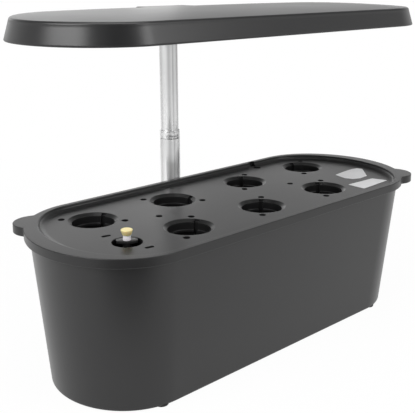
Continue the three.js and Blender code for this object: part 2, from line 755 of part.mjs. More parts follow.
function makeDeck() {
  const bandLevels = [];
  for (const turn of quarterSteps(2)) {
    const rise = rimRadius * (1 - Math.cos(turn));
    bandLevels.push([rimOutline(rimRadius * (1 - Math.sin(turn))), rimBottomZ + rise]);
  }
  for (const turn of quarterSteps(2)) {
    const rise = rimRadius * Math.sin(turn);
    const inset = rimDraft + rimRadius * (1 - Math.cos(turn));
    bandLevels.push([rimOutline(inset), rimTopZ - rimRadius + rise]);
  }
  let body = solid(loft(bandLevels));
  const tab = solid(rod(tabRadius, rimBottomZ, rimTopZ, holeSegments));
  body = body.add(tab.translate([-tabCentreX, tabCentreY, 0]));
  body = body.add(tab.translate([tabCentreX, -tabCentreY, 0]));

  // Tray above the deck: a cove at its foot and a rounded top edge
  const wallInset = rimRadius + rimFlatWidth;
  const trayLevels = [];
  for (const turn of quarterSteps(3)) {
    const inset = wallInset + deckCoveRadius * (1 - Math.sin(turn));
    trayLevels.push([rimOutline(inset), deckTopZ + deckCoveRadius * (1 - Math.cos(turn))]);
  }
  for (const turn of quarterSteps(2)) {
    const inset = wallInset - rimRadius * (1 - Math.cos(turn));
    trayLevels.push([rimOutline(inset), rimTopZ - rimRadius * (1 - Math.sin(turn))]);
  }
  trayLevels.push([rimOutline(wallInset - rimRadius), rimTopZ + overrun]);
  body = body.subtract(solid(loft(trayLevels)));

  // Underside: the band laps over the tank's mouth, and a skirt drops inside its wall
  const lap = -tankBeadReach - gap;
  const under = [[tankMouthOutline(lap), rimBottomZ - overrun], [tankMouthOutline(lap), deckUnderZ]];
  body = body.subtract(solid(loft(under)));
  const skirtInset = tankWall + gap + (tankTopHalfWidth - tankBaseHalfWidth) * (skirtDepth / tankHeight);
  const plateMidZ = deckUnderZ + deckThickness / 2;
  const skirtOuter = solid(prism(tankMouthOutline(skirtInset), skirtBottomZ, plateMidZ));
  const skirtCore = prism(tankMouthOutline(skirtInset + skirtWall), skirtBottomZ - overrun, deckUnderZ);
  body = body.add(skirtOuter.subtract(solid(skirtCore)));

  const collar = solid(holeCollar());
  const cutter = solid(holeCutter());
  holePlaces().forEach(([x, y], i) => {
    body = body.subtract(cutter.translate([x, y, 0]));
    body = body.add(collar.translate([x, y, 0]));
    body = body.subtract(solid(moved(keyCutter(keyTurns[i]), x, y)));
  });

  const vent = solid(rod(ventRadius, deckUnderZ - overrun, deckTopZ + overrun, screwSegments));
  for (const [x, y] of ventPlaces()) body = body.subtract(vent.translate([x, y, 0]));
  const slot = solid(roundedSlot());
  body = body.subtract(slot.translate([portX + slotBackX, portY + slotBackY, 0]));
  body = body.subtract(slot.translate([portX + slotFrontX, portY + slotFrontY, 0]));

  const portOuter = portRadius + portCollarWall;
  const portTube = tube(portOuter, portRadius, deckTopZ - portCollarDepth, plateMidZ, holeSegments);
  const portHole = rod(portRadius, deckUnderZ - overrun, deckTopZ + overrun, holeSegments);
  body = body.subtract(solid(moved(portHole, portX, portY)));
  body = body.add(solid(moved(portTube, portX, portY)));
  body = body.add(floatGuide());

  // Cable way: a hole at the wall's foot and a notch across the rim
  const wallFootY = rimHalfWidth - wallInset - deckCoveRadius;
  const cableHole = rod(cableHoleRadius, deckUnderZ - overrun, deckTopZ + overrun, smallSegments);
  body = body.subtract(solid(moved(cableHole, cableX, wallFootY - cableHoleInset)));
  const notch = block(cableNotchHalfWidth, rimFlatWidth + deckCoveRadius, deckTopZ, rimTopZ + overrun);
  body = body.subtract(solid(moved(notch, cableX, rimHalfWidth - rimFlatWidth / 2)));
  addPiece(deck, 'grow_deck', surface(body), finishes.greyDeck);
}

// Level float

function makeFloat() {
  const shoulderZ = tongueTopZ + gap;
  const capBottomZ = shoulderZ + floatStemHeight;
  const capTopZ = capBottomZ + floatCapHeight;
  const bodyBottomZ = floatBodyTopZ - floatBodyHeight;
  const headTopZ = bodyBottomZ - gap;
  const stem = revolve([
    [0, headTopZ - floatHeadHeight],
    [floatHeadRadius, headTopZ - floatHeadHeight],
    [floatHeadRadius, headTopZ],
    [floatRodRadius, headTopZ],
    [floatRodRadius, shoulderZ],
    [floatStemRadius, shoulderZ],
    [floatStemRadius, capBottomZ - gap],
    [floatSpigotRadius, capBottomZ - gap],
    [floatSpigotRadius, capBottomZ + floatCapSocketDepth - gap],
    [0, capBottomZ + floatCapSocketDepth - gap],
  ], smallSegments);
  addPiece(float, 'float_stem', moved(stem, floatX, floatY), finishes.stemWhite);
  const domeShares = [[0.82, 0.55], [0.45, 0.9]];
  const cap = revolve([
    [0, capBottomZ + floatCapSocketDepth],
    [floatSpigotRadius + gap, capBottomZ + floatCapSocketDepth],
    [floatSpigotRadius + gap, capBottomZ],
    [floatCapNeckRadius, capBottomZ],
    [floatCapRadius, capBottomZ + floatCapTaper],
    [floatCapRadius, capTopZ - floatCapDome],
    ...domeShares.map(([radiusShare, riseShare]) => [
      floatCapRadius * radiusShare,
      capTopZ - floatCapDome * (1 - riseShare),
    ]),
    [0, capTopZ],
  ], holeSegments);
  addPiece(float, 'float_cap', moved(cap, floatX, floatY), finishes.capYellow);
  const bodyBore = floatRodRadius + gap;
  const floatBody = revolve([
    [bodyBore, bodyBottomZ],
    [floatBodyRadius - floatBodyChamfer, bodyBottomZ],
    [floatBodyRadius, bodyBottomZ + floatBodyChamfer],
    [floatBodyRadius, floatBodyTopZ - floatBodyChamfer],
    [floatBodyRadius - floatBodyChamfer, floatBodyTopZ],
    [bodyBore, floatBodyTopZ],
  ], smallSegments);
  addPiece(float, 'float_body', moved(floatBody, floatX, floatY), finishes.foamWhite);
}

// Lamp hood

function hoodOutline(halfLength, halfWidth, inset) {
  const drawnWidth = halfWidth - inset;
  return oval(halfLength - inset, drawnWidth, halfWidth * hoodEndShare - inset * hoodEndShare);
}

function hoodShoulder(inset) {
  return hoodOutline(hoodShoulderHalfLength, hoodShoulderHalfWidth, inset);
}

function hoodBase(inset) {
  return hoodOutline(hoodBaseHalfLength, hoodBaseHalfWidth, inset);
}

// Outline of the hood's cavity at a height, drawn in by an inset from the outer face
function lampCavity(z, inset) {
  const share = (z - frameBottomZ) / (cavityShoulderZ - frameBottomZ);
  const halfLength = THREE.MathUtils.lerp(hoodBaseHalfLength, hoodShoulderHalfLength, share);
  const halfWidth = THREE.MathUtils.lerp(hoodBaseHalfWidth, hoodShoulderHalfWidth, share);
  return hoodOutline(halfLength, halfWidth, inset);
}

function screwPlaces() {
  return [[-postX, -postY], [postX, -postY], [-postX, postY], [postX, postY]];
}

// Hole for the four lamp screws between two heights
function cutScrewHoles(body, radius, bottomZ, topZ) {
  let result = body;
  for (const [x, y] of screwPlaces()) {
    result = result.subtract(solid(moved(rod(radius, bottomZ, topZ, screwSegments), x, y)));
  }
  return result;
}

function makeHoodShell() {
  const outerLevels = [[hoodBase(hoodLipRadius), hoodBottomZ], [hoodBase(0), hoodBottomZ + hoodLipRadius]];
  for (const turn of quarterSteps(3)) {
    const rise = hoodRadius * Math.sin(turn);
    outerLevels.push([hoodShoulder(hoodRadius * (1 - Math.cos(turn))), hoodShoulderZ + rise]);
  }
  // The crown rises fast behind the edge and levels out inwards, so its levels lie closer near the edge
  const crownReach = hoodShoulderHalfWidth - hoodRadius - bossCorner;
  for (let i = 1; i <= hoodCrownSteps; i += 1) {
    const share = (i / hoodCrownSteps) ** 2;
    const rise = hoodCrown * (1 - (1 - share) ** hoodCrownPower);
    outerLevels.push([hoodShoulder(hoodRadius + crownReach * share), hoodShoulderZ + hoodRadius + rise]);
  }
  const cavityLevels = [
    [lampCavity(frameBottomZ, hoodWall), hoodBottomZ - overrun],
    [lampCavity(frameBottomZ, hoodWall), frameBottomZ],
    [lampCavity(cavityShoulderZ, hoodWall), cavityShoulderZ],
    [hoodShoulder(hoodWall + hoodRadius), hoodCeilingZ],
  ];
  const bossMidY = (bossBackY + hoodShoulderHalfWidth - hoodRadius) / 2;
  const bossHalfDepth = bossBackY - bossMidY;
  const bossLevels = [];
  const bossOutline = (inset) => {
    return roundedBlock(bossHalfWidth - inset, bossHalfDepth - inset, bossCorner - inset, 0, bossMidY);
  };
  for (const turn of quarterSteps(2)) {
    const rise = hoodLipRadius * (1 - Math.cos(turn));
    bossLevels.push([bossOutline(hoodLipRadius * (1 - Math.sin(turn))), hoodBottomZ + rise]);
  }
  for (const turn of quarterSteps(3)) {
    const rise = bossTopRadius * Math.sin(turn);
    bossLevels.push([bossOutline(bossTopRadius * (1 - Math.cos(turn))), bossTopZ - bossTopRadius + rise]);
  }
  let body = solid(loft(outerLevels)).add(solid(loft(bossLevels)));
  body = body.subtract(solid(loft(cavityLevels)));
  const postTopZ = hoodCeilingZ + hoodCeiling / 2;
  for (const [x, y] of screwPlaces()) {
    body = body.add(solid(moved(rod(postRadius, ledBoardTopZ + gap, postTopZ, smallSegments), x, y)));
  }
  body = cutScrewHoles(body, screwRadius + gap, ledBoardTopZ, hoodCeilingZ);
  const seat = rod(upperTubeRadius + gap, hoodBottomZ - overrun, upperTubeTopZ + gap, holeSegments);
  body = body.subtract(solid(moved(seat, 0, mastY)));

  // Bores that run in from the boss's back face
  const buttonPocket = rod(buttonRadius + buttonClearance, -buttonPocketDepth, overrun, smallSegments);
  body = body.subtract(solid(moved(facingBack(buttonPocket), -sideX, bossBackY, bossMidZ)));
  const inletPocket = new THREE.BoxGeometry(
    2 * (inletHalfWidth + gap),
    inletDepth + inletSetback + overrun,
    2 * (inletHalfHeight + gap),
  );
  const inletPocketY = bossBackY + (overrun - inletDepth - inletSetback) / 2;
  body = body.subtract(solid(moved(inletPocket, sideX, inletPocketY, bossMidZ)));
  const screwReach = bossBackY - mastY;
  const grubHole = rod(mastScrewRadius + gap, -screwReach, overrun, smallSegments);
  body = body.subtract(solid(moved(facingBack(grubHole), 0, bossBackY, bossMidZ)));
  addPiece(hood, 'hood_shell', surface(body), finishes.blackShell);
}

function makeUpperMast() {
  const bore = upperTubeRadius - upperTubeWall;
  const upperTube = tube(upperTubeRadius, bore, upperTubeBottomZ, upperTubeTopZ, holeSegments);
  addPiece(hood, 'upper_tube', moved(upperTube, 0, mastY), finishes.steel);
  const headTopZ = upperTubeBottomZ - gap;
  const plug = revolve([
    [0, frictionBottomZ],
    [lowerTubeBore - frictionClearance, frictionBottomZ],
    [lowerTubeBore - frictionClearance, headTopZ],
    [bore - gap, headTopZ],
    [bore - gap, headTopZ + frictionSpigotHeight],
    [0, headTopZ + frictionSpigotHeight],
  ], holeSegments);
  addPiece(hood, 'friction_plug', moved(plug, 0, mastY), finishes.pumpBlack);
  const frontY = mastY + upperTubeRadius + gap;
  const grub = rod(mastScrewRadius, frontY - bossBackY, -mastScrewSetback, screwSegments);
  addPiece(hood, 'mast_screw', moved(facingBack(grub), 0, bossBackY, bossMidZ), finishes.screwSteel);
}

function makeLamp() {
  const frameTopZ = frameBottomZ + frameHeight;
  const frameInset = hoodWall + gap;
  let frame = solid(prism(lampCavity(frameTopZ, frameInset), frameBottomZ, frameTopZ));
  const core = lampCavity(frameTopZ, frameInset + frameWidth);
  frame = frame.subtract(solid(prism(core, frameBottomZ - overrun, frameTopZ + overrun)));
  frame = cutScrewHoles(frame, screwRadius + gap, frameBottomZ - overrun, frameTopZ + overrun);
  addPiece(hood, 'hood_frame', surface(frame), finishes.blackShell);

  const diffuserTopZ = diffuserBottomZ + diffuserThickness;
  let diffuser = solid(prism(lampCavity(diffuserTopZ, frameInset), diffuserBottomZ, diffuserTopZ));
  diffuser = cutScrewHoles(diffuser, screwRadius + gap, diffuserBottomZ - overrun, diffuserTopZ + overrun);
  addPiece(hood, 'diffuser', surface(diffuser), finishes.opal);

  const boardOutline = lampCavity(ledBoardTopZ, hoodWall + ledBoardInset);
  let board = solid(prism(boardOutline, ledBoardBottomZ, ledBoardTopZ));
  for (let column = 0; column < ledColumns; column += 1) {
    for (let row = 0; row < ledRows; row += 1) {
      const x = (column - (ledColumns - 1) / 2) * ledPitchXShare * hoodShoulderHalfLength;
      const y = (row - (ledRows - 1) / 2) * ledPitchYShare * hoodShoulderHalfWidth;
      const chip = block(ledHalfSize, ledHalfSize, ledBoardBottomZ - ledHeight, ledBoardTopZ);
      board = board.add(solid(moved(chip, x, y)));
    }
  }
  board = cutScrewHoles(board, screwRadius + gap, ledBoardBottomZ - overrun, ledBoardTopZ + overrun);
  addPiece(hood, 'led_board', surface(board), finishes.board);

  const headBottomZ = frameBottomZ - gap - screwHeadHeight;
  const screw = revolve([
    [0, headBottomZ],
    [screwHeadRadius, headBottomZ],
    [screwHeadRadius, headBottomZ + screwHeadHeight],
    [screwRadius, headBottomZ + screwHeadHeight],
    [screwRadius, headBottomZ + hoodScrewLength],
    [0, headBottomZ + hoodScrewLength],
  ], screwSegments);
  screwPlaces().forEach(([x, y], i) => {
    addPiece(hood, `hood_screw_${i + 1}`, moved(screw.clone(), x, y), finishes.screwSteel);
  });

  const driverBottomZ = ledBoardTopZ + gap;
  const driverTopZ = driverBottomZ + driverThickness;
  let driver = solid(block(driverHalfLength, driverHalfWidth, driverBottomZ, driverTopZ));
  chipPlaceShares.forEach((placeShare, i) => {
    const halfX = driverHalfLength * chipHalfLengthShares[i];
    const halfY = driverHalfWidth * chipHalfWidthShares[i];
    const chip = block(halfX, halfY, driverBottomZ, driverTopZ + driverPartHeight);
    driver = driver.add(solid(moved(chip, driverHalfLength * placeShare, 0)));
  });
  addPiece(hood, 'driver_board', moved(surface(driver), 0, driverY), finishes.greenBoard);
}

function makeBossFittings() {
  const switchBackY = gap - buttonPocketDepth;
  const can = block(switchHalfSize, switchHalfSize, switchBackY, switchBackY + switchDepth);
  const plungerEnd = switchBackY + switchDepth + plungerLength;
  const tact = solid(can).add(solid(rod(plungerRadius, switchBackY, plungerEnd, screwSegments)));
  const tactGeometry = moved(facingBack(surface(tact)), -sideX, bossBackY, bossMidZ);
  addPiece(hood, 'tact_switch', tactGeometry, finishes.pumpBlack);

  const buttonBack = plungerEnd + buttonTravel + gap;
  const button = revolve([
    [0, buttonBack],
    [buttonRadius, buttonBack],
    [buttonRadius, buttonProud - buttonChamfer],
    [buttonRadius - buttonChamfer, buttonProud],
    [buttonRadius - 2 * buttonChamfer, buttonProud],
    [0, buttonProud - buttonDish],
  ], holeSegments);
  addPiece(hood, 'mode_button', moved(facingBack(button), -sideX, bossBackY, bossMidZ), finishes.greyDeck);

  const inletBack = gap - inletDepth - inletSetback;
  const inletOuter = solid(block(inletHalfWidth, inletHalfHeight, inletBack, -inletSetback));
  const inletFloor = -inletSetback - inletBoreDepth;
  const bore = solid(rod(inletBoreRadius, inletFloor, overrun, smallSegments));
  const pin = solid(rod(inletPinRadius, inletFloor - gap, -inletSetback - inletPinSetback, screwSegments));
  const inlet = inletOuter.subtract(bore).add(pin);
  const inletGeometry = moved(facingBack(surface(inlet)), sideX, bossBackY, bossMidZ);
  addPiece(hood, 'dc_inlet', inletGeometry, finishes.pumpBlack);
}

// Pump

function pumpFootPlaces() {
  return [[-pumpFootX, -pumpFootY], [pumpFootX, -pumpFootY], [-pumpFootX, pumpFootY], [pumpFootX, pumpFootY]];
}

function makePump() {
  const bodyBottomZ = pumpFootHeight;
  const bodyTopZ = bodyBottomZ + pumpBodyHeight;
  const axisZ = bodyBottomZ + pumpBodyHeight / 2;
  const faceX = -pumpHalfLength;
  const chamberEndX = faceX + chamberDepth;
  const rotorEndX = chamberEndX + rotorBoreDepth;
  const outletX = faceX + outletSetback;
  const onAxis = (geometry) => moved(alongX(geometry), 0, 0, axisZ);

  let housing = solid(prism(roundedBlock(pumpHalfLength, pumpHalfWidth, pumpCorner), bodyBottomZ, bodyTopZ));
  housing = housing.subtract(solid(onAxis(rod(chamberRadius, faceX - overrun, chamberEndX, holeSegments))));
  housing = housing.subtract(solid(onAxis(rod(rotorBoreRadius, faceX, rotorEndX, holeSegments))));
  const shaftHoleEndX = rotorEndX + shaftSeatDepth;
  housing = housing.subtract(solid(onAxis(rod(shaftRadius + gap, faceX, shaftHoleEndX, smallSegments))));
  const nozzleRadius = outletRadius + nozzleWall;
  const outlet = rod(outletRadius, axisZ, bodyTopZ + overrun, smallSegments);
  housing = housing.subtract(solid(moved(outlet, outletX, 0)));
  const nozzleHole = rod(nozzleRadius + gap, bodyTopZ - nozzleSeat, bodyTopZ + overrun, smallSegments);
  housing = housing.subtract(solid(moved(nozzleHole, outletX, 0)));
  const glandHoleStart = pumpHalfLength - glandSeat;
  const glandHole = rod(glandRadius + gap, glandHoleStart, pumpHalfLength + overrun, smallSegments);
  housing = housing.subtract(solid(moved(alongX(glandHole), 0, 0, glandRise)));
  for (const [x, y] of pumpFootPlaces()) {
    const neckTopZ = bodyBottomZ + pumpFootNeckHeight + gap;
    const neckHole = rod(pumpFootNeckRadius + gap, bodyBottomZ - overrun, neckTopZ, screwSegments);
    housing = housing.subtract(solid(moved(neckHole, x, y)));
  }
  addPiece(pump, 'pump_housing', surface(housing), finishes.pumpBlack);

  // Intake cover: slots either side of a bar that carries the shaft's end
  const coverBackX = faceX - gap;
  const coverFrontX = coverBackX - coverThickness;
  const coverHalfHeight = pumpBodyHeight / 2;
  const coverSize = [coverThickness, 2 * pumpHalfWidth, 2 * coverHalfHeight];
  const coverMidX = (coverBackX + coverFrontX) / 2;
  let cover = solid(moved(new THREE.BoxGeometry(...coverSize), coverMidX, 0, axisZ));
  const slotHalfSpan = (coverSlotHalfHeight - coverCrossHalfHeight) / 2;
  for (let i = 0; i < coverSlotCount; i += 1) {
    const y = (i - (coverSlotCount - 1) / 2) * coverSlotPitch;
    for (const side of [1, -1]) {
      const z = axisZ + side * (coverCrossHalfHeight + slotHalfSpan);
      const slotSize = [coverThickness + overrun, 2 * coverSlotHalfWidth, 2 * slotHalfSpan];
      const slotBox = new THREE.BoxGeometry(...slotSize);
      cover = cover.subtract(solid(moved(slotBox, coverMidX, y, z)));
    }
  }
  const shaftFrontX = coverBackX - coverThickness / 2;
  const shaftHole = rod(shaftRadius + gap, shaftFrontX - gap, coverBackX + overrun, smallSegments);
  cover = cover.subtract(solid(onAxis(shaftHole)));
  addPiece(pump, 'pump_cover', surface(cover), finishes.pumpBlack);

  const shaft = rod(shaftRadius, shaftFrontX, shaftHoleEndX - gap, smallSegments);
  addPiece(pump, 'pump_shaft', onAxis(shaft), finishes.ceramic);

  const rotorBore = shaftRadius + gap;
  const magnet = tube(rotorBoreRadius - 2 * gap, rotorBore, chamberEndX, rotorEndX - rotorWall, holeSegments);
  addPiece(pump, 'rotor_magnet', onAxis(magnet), finishes.magnet);

  const discBackX = chamberEndX - gap;
  const discFrontX = discBackX - impellerDisc;
  const hubFrontX = discFrontX - bladeHeight - rotorWall / 2;
  let impeller = solid(rod(impellerRadius, discFrontX, discBackX, holeSegments));
  impeller = impeller.add(solid(rod(impellerHubRadius, hubFrontX, discBackX, smallSegments)));
  const bladeSpan = impellerRadius - impellerHubRadius / 2;
  for (let i = 0; i < bladeCount; i += 1) {
    const blade = block(bladeSpan / 2, bladeThickness / 2, discFrontX - bladeHeight, discBackX);
    blade.translate(impellerRadius - bladeSpan / 2, 0, 0);
    blade.rotateZ((i / bladeCount) * 2 * Math.PI);
    impeller = impeller.add(solid(blade));
  }
  const shaftWay = rod(rotorBore, hubFrontX - overrun, discBackX + overrun, smallSegments);
  impeller = impeller.subtract(solid(shaftWay));
  addPiece(pump, 'impeller', onAxis(surface(impeller)), finishes.stemWhite);

  // Barbed outlet
  const seatZ = bodyTopZ - nozzleSeat + gap;
  const nozzleTopZ = bodyTopZ + nozzleReach;
  const nozzleProfile = [[outletRadius, seatZ], [nozzleRadius, seatZ]];
  const barbPitch = nozzleReach / (nozzleBarbCount + 1);
  for (let i = 1; i <= nozzleBarbCount; i += 1) {
    const barbZ = bodyTopZ + i * barbPitch;
    nozzleProfile.push([nozzleRadius, barbZ]);
    nozzleProfile.push([nozzleRadius + nozzleBarb, barbZ]);
  }
  nozzleProfile.push([nozzleRadius - nozzleBarb, nozzleTopZ]);
  nozzleProfile.push([outletRadius, nozzleTopZ]);
  addPiece(pump, 'pump_nozzle', moved(revolve(nozzleProfile, smallSegments), outletX, 0), finishes.pumpBlack);

  const glandStartX = pumpHalfLength - glandSeat + gap;
  const glandEndX = pumpHalfLength + glandReach;
  const gland = revolve([
    [0, glandStartX],
    [glandRadius, glandStartX],
    [glandRadius, pumpHalfLength],
    [(glandRadius + glandBoreRadius) / 2, glandEndX],
    [glandBoreRadius, glandEndX],
    [glandBoreRadius, pumpHalfLength],
    [0, pumpHalfLength],
  ], smallSegments);
  addPiece(pump, 'pump_gland', moved(alongX(gland), 0, 0, glandRise), finishes.rubber);

  const footTopZ = bodyBottomZ - gap;
  const cup = [
    [0, gap],
    [pumpFootNeckRadius, gap],
    [pumpFootRadius - 2 * gap, 0],
    [pumpFootRadius, 0],
    [pumpFootNeckRadius * pumpFootTopShare, footTopZ],
    [pumpFootNeckRadius, footTopZ],
    [pumpFootNeckRadius, bodyBottomZ + pumpFootNeckHeight],
    [0, bodyBottomZ + pumpFootNeckHeight],
  ];
  pumpFootPlaces().forEach(([x, y], i) => {
    addPiece(pump, `pump_foot_${i + 1}`, moved(revolve(cup, smallSegments), x, y), finishes.rubber);
  });
}

makeTank();
makeFeet();
makeLowerMast();
makeDeck();
makeFloat();
makeHoodShell();
makeUpperMast();
makeLamp();
makeBossFittings();
makePump();

pump.position.set(pumpX, pumpY, tankFloorZ + gap);
garden.position.y = -(buttonFrontY - rimHalfWidth) / 2;

export default garden;
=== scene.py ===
import math

import bmesh
import bpy
import numpy as np
from mathutils import Matrix, Vector, geometry


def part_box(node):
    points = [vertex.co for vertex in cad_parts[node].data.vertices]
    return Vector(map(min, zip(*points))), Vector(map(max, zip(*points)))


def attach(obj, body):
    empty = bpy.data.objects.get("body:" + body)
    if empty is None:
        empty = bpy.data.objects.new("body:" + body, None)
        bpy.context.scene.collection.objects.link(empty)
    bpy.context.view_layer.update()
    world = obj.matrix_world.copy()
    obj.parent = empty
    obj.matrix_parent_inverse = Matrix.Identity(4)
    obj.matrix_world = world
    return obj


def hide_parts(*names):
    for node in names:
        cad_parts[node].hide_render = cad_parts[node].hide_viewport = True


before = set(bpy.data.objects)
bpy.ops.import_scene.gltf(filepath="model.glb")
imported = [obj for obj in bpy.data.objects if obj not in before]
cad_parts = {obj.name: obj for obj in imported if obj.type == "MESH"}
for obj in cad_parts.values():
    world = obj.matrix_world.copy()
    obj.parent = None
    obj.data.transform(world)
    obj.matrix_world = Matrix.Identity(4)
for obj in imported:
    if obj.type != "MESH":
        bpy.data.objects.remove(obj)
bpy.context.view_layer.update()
print("frame loaded")

# Shapes are drawn in millimetres round the middle of the deck, and go into the frame with this unit and shift
unit = 0.001
shift = np.array([0.0, -11.75, 0.0])
mastAxis = (0.0, 80.5)
mergeDistance = 3e-6

# Camera
camera = {
    "place": (-0.4116, -0.43135, 0.2899), "forward": (0.6482, 0.7023, -0.2944), "roll": -0.001,
    "lens": 65.0, "sensor": 36.0, "shift": (-0.0104, -0.0007), "clip": (0.02, 30.0),
}


# New object in the scene; a place and an aim turn its -Z along the aim, with +Y upwards
def addObject(name, data, place=None, aim=None, roll=0.0):
    obj = bpy.data.objects.new(name, data)
    bpy.context.scene.collection.objects.link(obj)
    if aim is not None:
        turn = Vector(aim).to_track_quat("-Z", "Y").to_matrix() @ Matrix.Rotation(roll, 3, "Z")
        obj.matrix_world = Matrix.Translation(place) @ turn.to_4x4()
    return obj


# Camera with its lens, shifts, place and view direction
def makeCamera(setup):
    data = bpy.data.cameras.new("camera")
    data.sensor_width = setup["sensor"]
    data.lens = setup["lens"]
    data.shift_x, data.shift_y = setup["shift"]
    data.clip_start, data.clip_end = setup["clip"]
    bpy.context.scene.camera = addObject("camera", data, setup["place"], setup["forward"], setup["roll"])


makeCamera(camera)
print("camera set")

# Shader tools


# New node: its settings first, then its inputs
def addNode(tree, kind, inputs, **settings):
    node = tree.nodes.new("ShaderNode" + kind)
    for key, value in settings.items():
        setattr(node, key, value)
    setInputs(tree, node, inputs)
    return node


# Inputs of a node: linked where they are given an output, and set where they are given a value
def setInputs(tree, node, inputs):
    for key, value in inputs.items():
        if isinstance(value, bpy.types.NodeSocket):
            tree.links.new(value, node.inputs[key])
        else:
            node.inputs[key].default_value = value


# Result of one sum on two numbers
def mathNode(tree, operation, first, second):
    return addNode(tree, "Math", {0: first, 1: second}, operation=operation).outputs[0]


# Results of one sum on vectors
def vectorNode(tree, operation, inputs):
    return addNode(tree, "VectorMath", inputs, operation=operation).outputs


# Soft noise from 0 to 1
def noiseNode(tree, vector, scale, detail, roughness):
    inputs = {"Vector": vector, "Scale": scale, "Detail": detail, "Roughness": roughness}
    return addNode(tree, "TexNoise", inputs).outputs["Fac"]


# Colour ramp from stops of a place and a colour
def rampColor(tree, share, stops):
    ramp = addNode(tree, "ValToRGB", {0: share})
    made = ramp.color_ramp.elements
    while len(made) < len(stops):
        made.new(0.5)
    for stop, (place, color) in zip(made, stops):
        stop.position = place
        stop.color = (*color, 1)
    return ramp.outputs["Color"]


# Node group with its named sockets, its input and output nodes and the place on the object
def makeGroup(name, inputs, outputs):
    group = bpy.data.node_groups.new(name, "ShaderNodeTree")
    for way, titles in (("INPUT", inputs), ("OUTPUT", outputs)):
        for title in titles:
            kind = "NodeSocketColor" if title == "Color" else "NodeSocketFloat"
            group.interface.new_socket(name=title, in_out=way, socket_type=kind)
    given = group.nodes.new("NodeGroupInput").outputs
    made = group.nodes.new("NodeGroupOutput")
    place = group.nodes.new("ShaderNodeTexCoord").outputs["Object"]
    return group, given, made, place


# Roughness with its change: roughness + change * (noise - 0.5)
def changedGloss(tree, given, centred):
    change = mathNode(tree, "MULTIPLY", centred, given["Gloss Change"])
    return mathNode(tree, "ADD", change, given["Roughness"])


# Grain of a moulded surface: a fine pattern for the bump, and soft wide changes of tone and gloss
def makeGrainGroup(fineShare=0.6):
    inputs = ["Color", "Tone Change", "Roughness", "Gloss Change", "Grain Scale", "Wide Scale"]
    group, given, made, place = makeGroup("mouldGrain", inputs, ["Color", "Roughness", "Height"])
    fine = noiseNode(group, place, given["Grain Scale"], 3.0, 0.55)
    wide = mathNode(group, "SUBTRACT", noiseNode(group, place, given["Wide Scale"], 3.0, 0.6), 0.5)
    grain = mathNode(group, "MULTIPLY", mathNode(group, "SUBTRACT", fine, 0.5), fineShare)
    change = mathNode(group, "MULTIPLY", mathNode(group, "ADD", wide, grain), given["Tone Change"])
    tone = mathNode(group, "ADD", change, 1.0)
    shade = vectorNode(group, "SCALE", {0: given["Color"], "Scale": tone})
    gloss = changedGloss(group, given, wide)
    setInputs(group, made, {"Color": shade["Vector"], "Roughness": gloss, "Height": fine})
    return group


# Lines left by drawing a tube: noise stretched along the tube's axis
def makeDrawnGroup(stretch=(1600, 1600, 14)):
    inputs = ["Roughness", "Gloss Change"]
    group, given, made, place = makeGroup("drawnLines", inputs, ["Roughness", "Height"])
    stretched = addNode(group, "Mapping", {"Vector": place, "Scale": stretch}).outputs["Vector"]
    lines = noiseNode(group, stretched, 1.0, 2.0, 0.5)
    gloss = changedGloss(group, given, mathNode(group, "SUBTRACT", lines, 0.5))
    setInputs(group, made, {"Roughness": gloss, "Height": lines})
    return group


# Wear of edges: where the surface turns within a small radius, broken up by noise
def makeWearGroup(turned=(0.995, 0.9), patchy=(0.35, 0.7)):
    group, given, made, place = makeGroup("edgeWear", ["Radius", "Amount", "Patch Scale"], ["Mask"])
    rounded = addNode(group, "Bevel", {"Radius": given["Radius"]}, samples=4).outputs["Normal"]
    normal = addNode(group, "NewGeometry", {}).outputs["Normal"]
    facing = vectorNode(group, "DOT_PRODUCT", {0: rounded, 1: normal})["Value"]
    noise = noiseNode(group, place, given["Patch Scale"], 3.0, 0.6)
    ranges = [
        addNode(group, "MapRange", {"Value": value, "From Min": low, "From Max": high}).outputs["Result"]
        for value, (low, high) in ((facing, turned), (noise, patchy))
    ]
    both = mathNode(group, "MULTIPLY", *ranges)
    setInputs(group, made, {"Mask": mathNode(group, "MULTIPLY", both, given["Amount"])})
    return group


# Finishes
mouldGrain = makeGrainGroup()
drawnLines = makeDrawnGroup()
edgeWear = makeWearGroup()
wear = {"Radius": 0.0005, "Amount": 0.3, "Patch Scale": 160.0}
wornGloss = 0.15
wornTone = (0.06, 0.9)
plainLook = {
    "metallic": 0.0, "subsurface": 0.0, "toneChange": 0.1, "glossChange": 0.05,
    "grainScale": 900.0, "wideScale": 14.0, "bump": 0.12, "bumpDepth": 0.0002,
}


# Material with the bump of its group, which is rougher where edges are worn
def makeMaterial(name, look, group, inputs):
    material = bpy.data.materials.new(name)
    material.use_nodes = True
    tree = material.node_tree
    shared = {"Roughness": look["roughness"], "Gloss Change": look["glossChange"]}
    surface = addNode(tree, "Group", {**shared, **inputs}, node_tree=group).outputs
    mask = addNode(tree, "Group", wear, node_tree=edgeWear).outputs["Mask"]
    rough = mathNode(tree, "ADD", surface["Roughness"], mathNode(tree, "MULTIPLY", mask, wornGloss))
    relief = {"Strength": look["bump"], "Distance": look["bumpDepth"], "Height": surface["Height"]}
    shader = tree.nodes["Principled BSDF"]
    setInputs(tree, shader, {
        "Metallic": look["metallic"],
        "Roughness": rough,
        "Normal": addNode(tree, "Bump", relief).outputs["Normal"],
    })
    return material, tree, shader, surface, mask


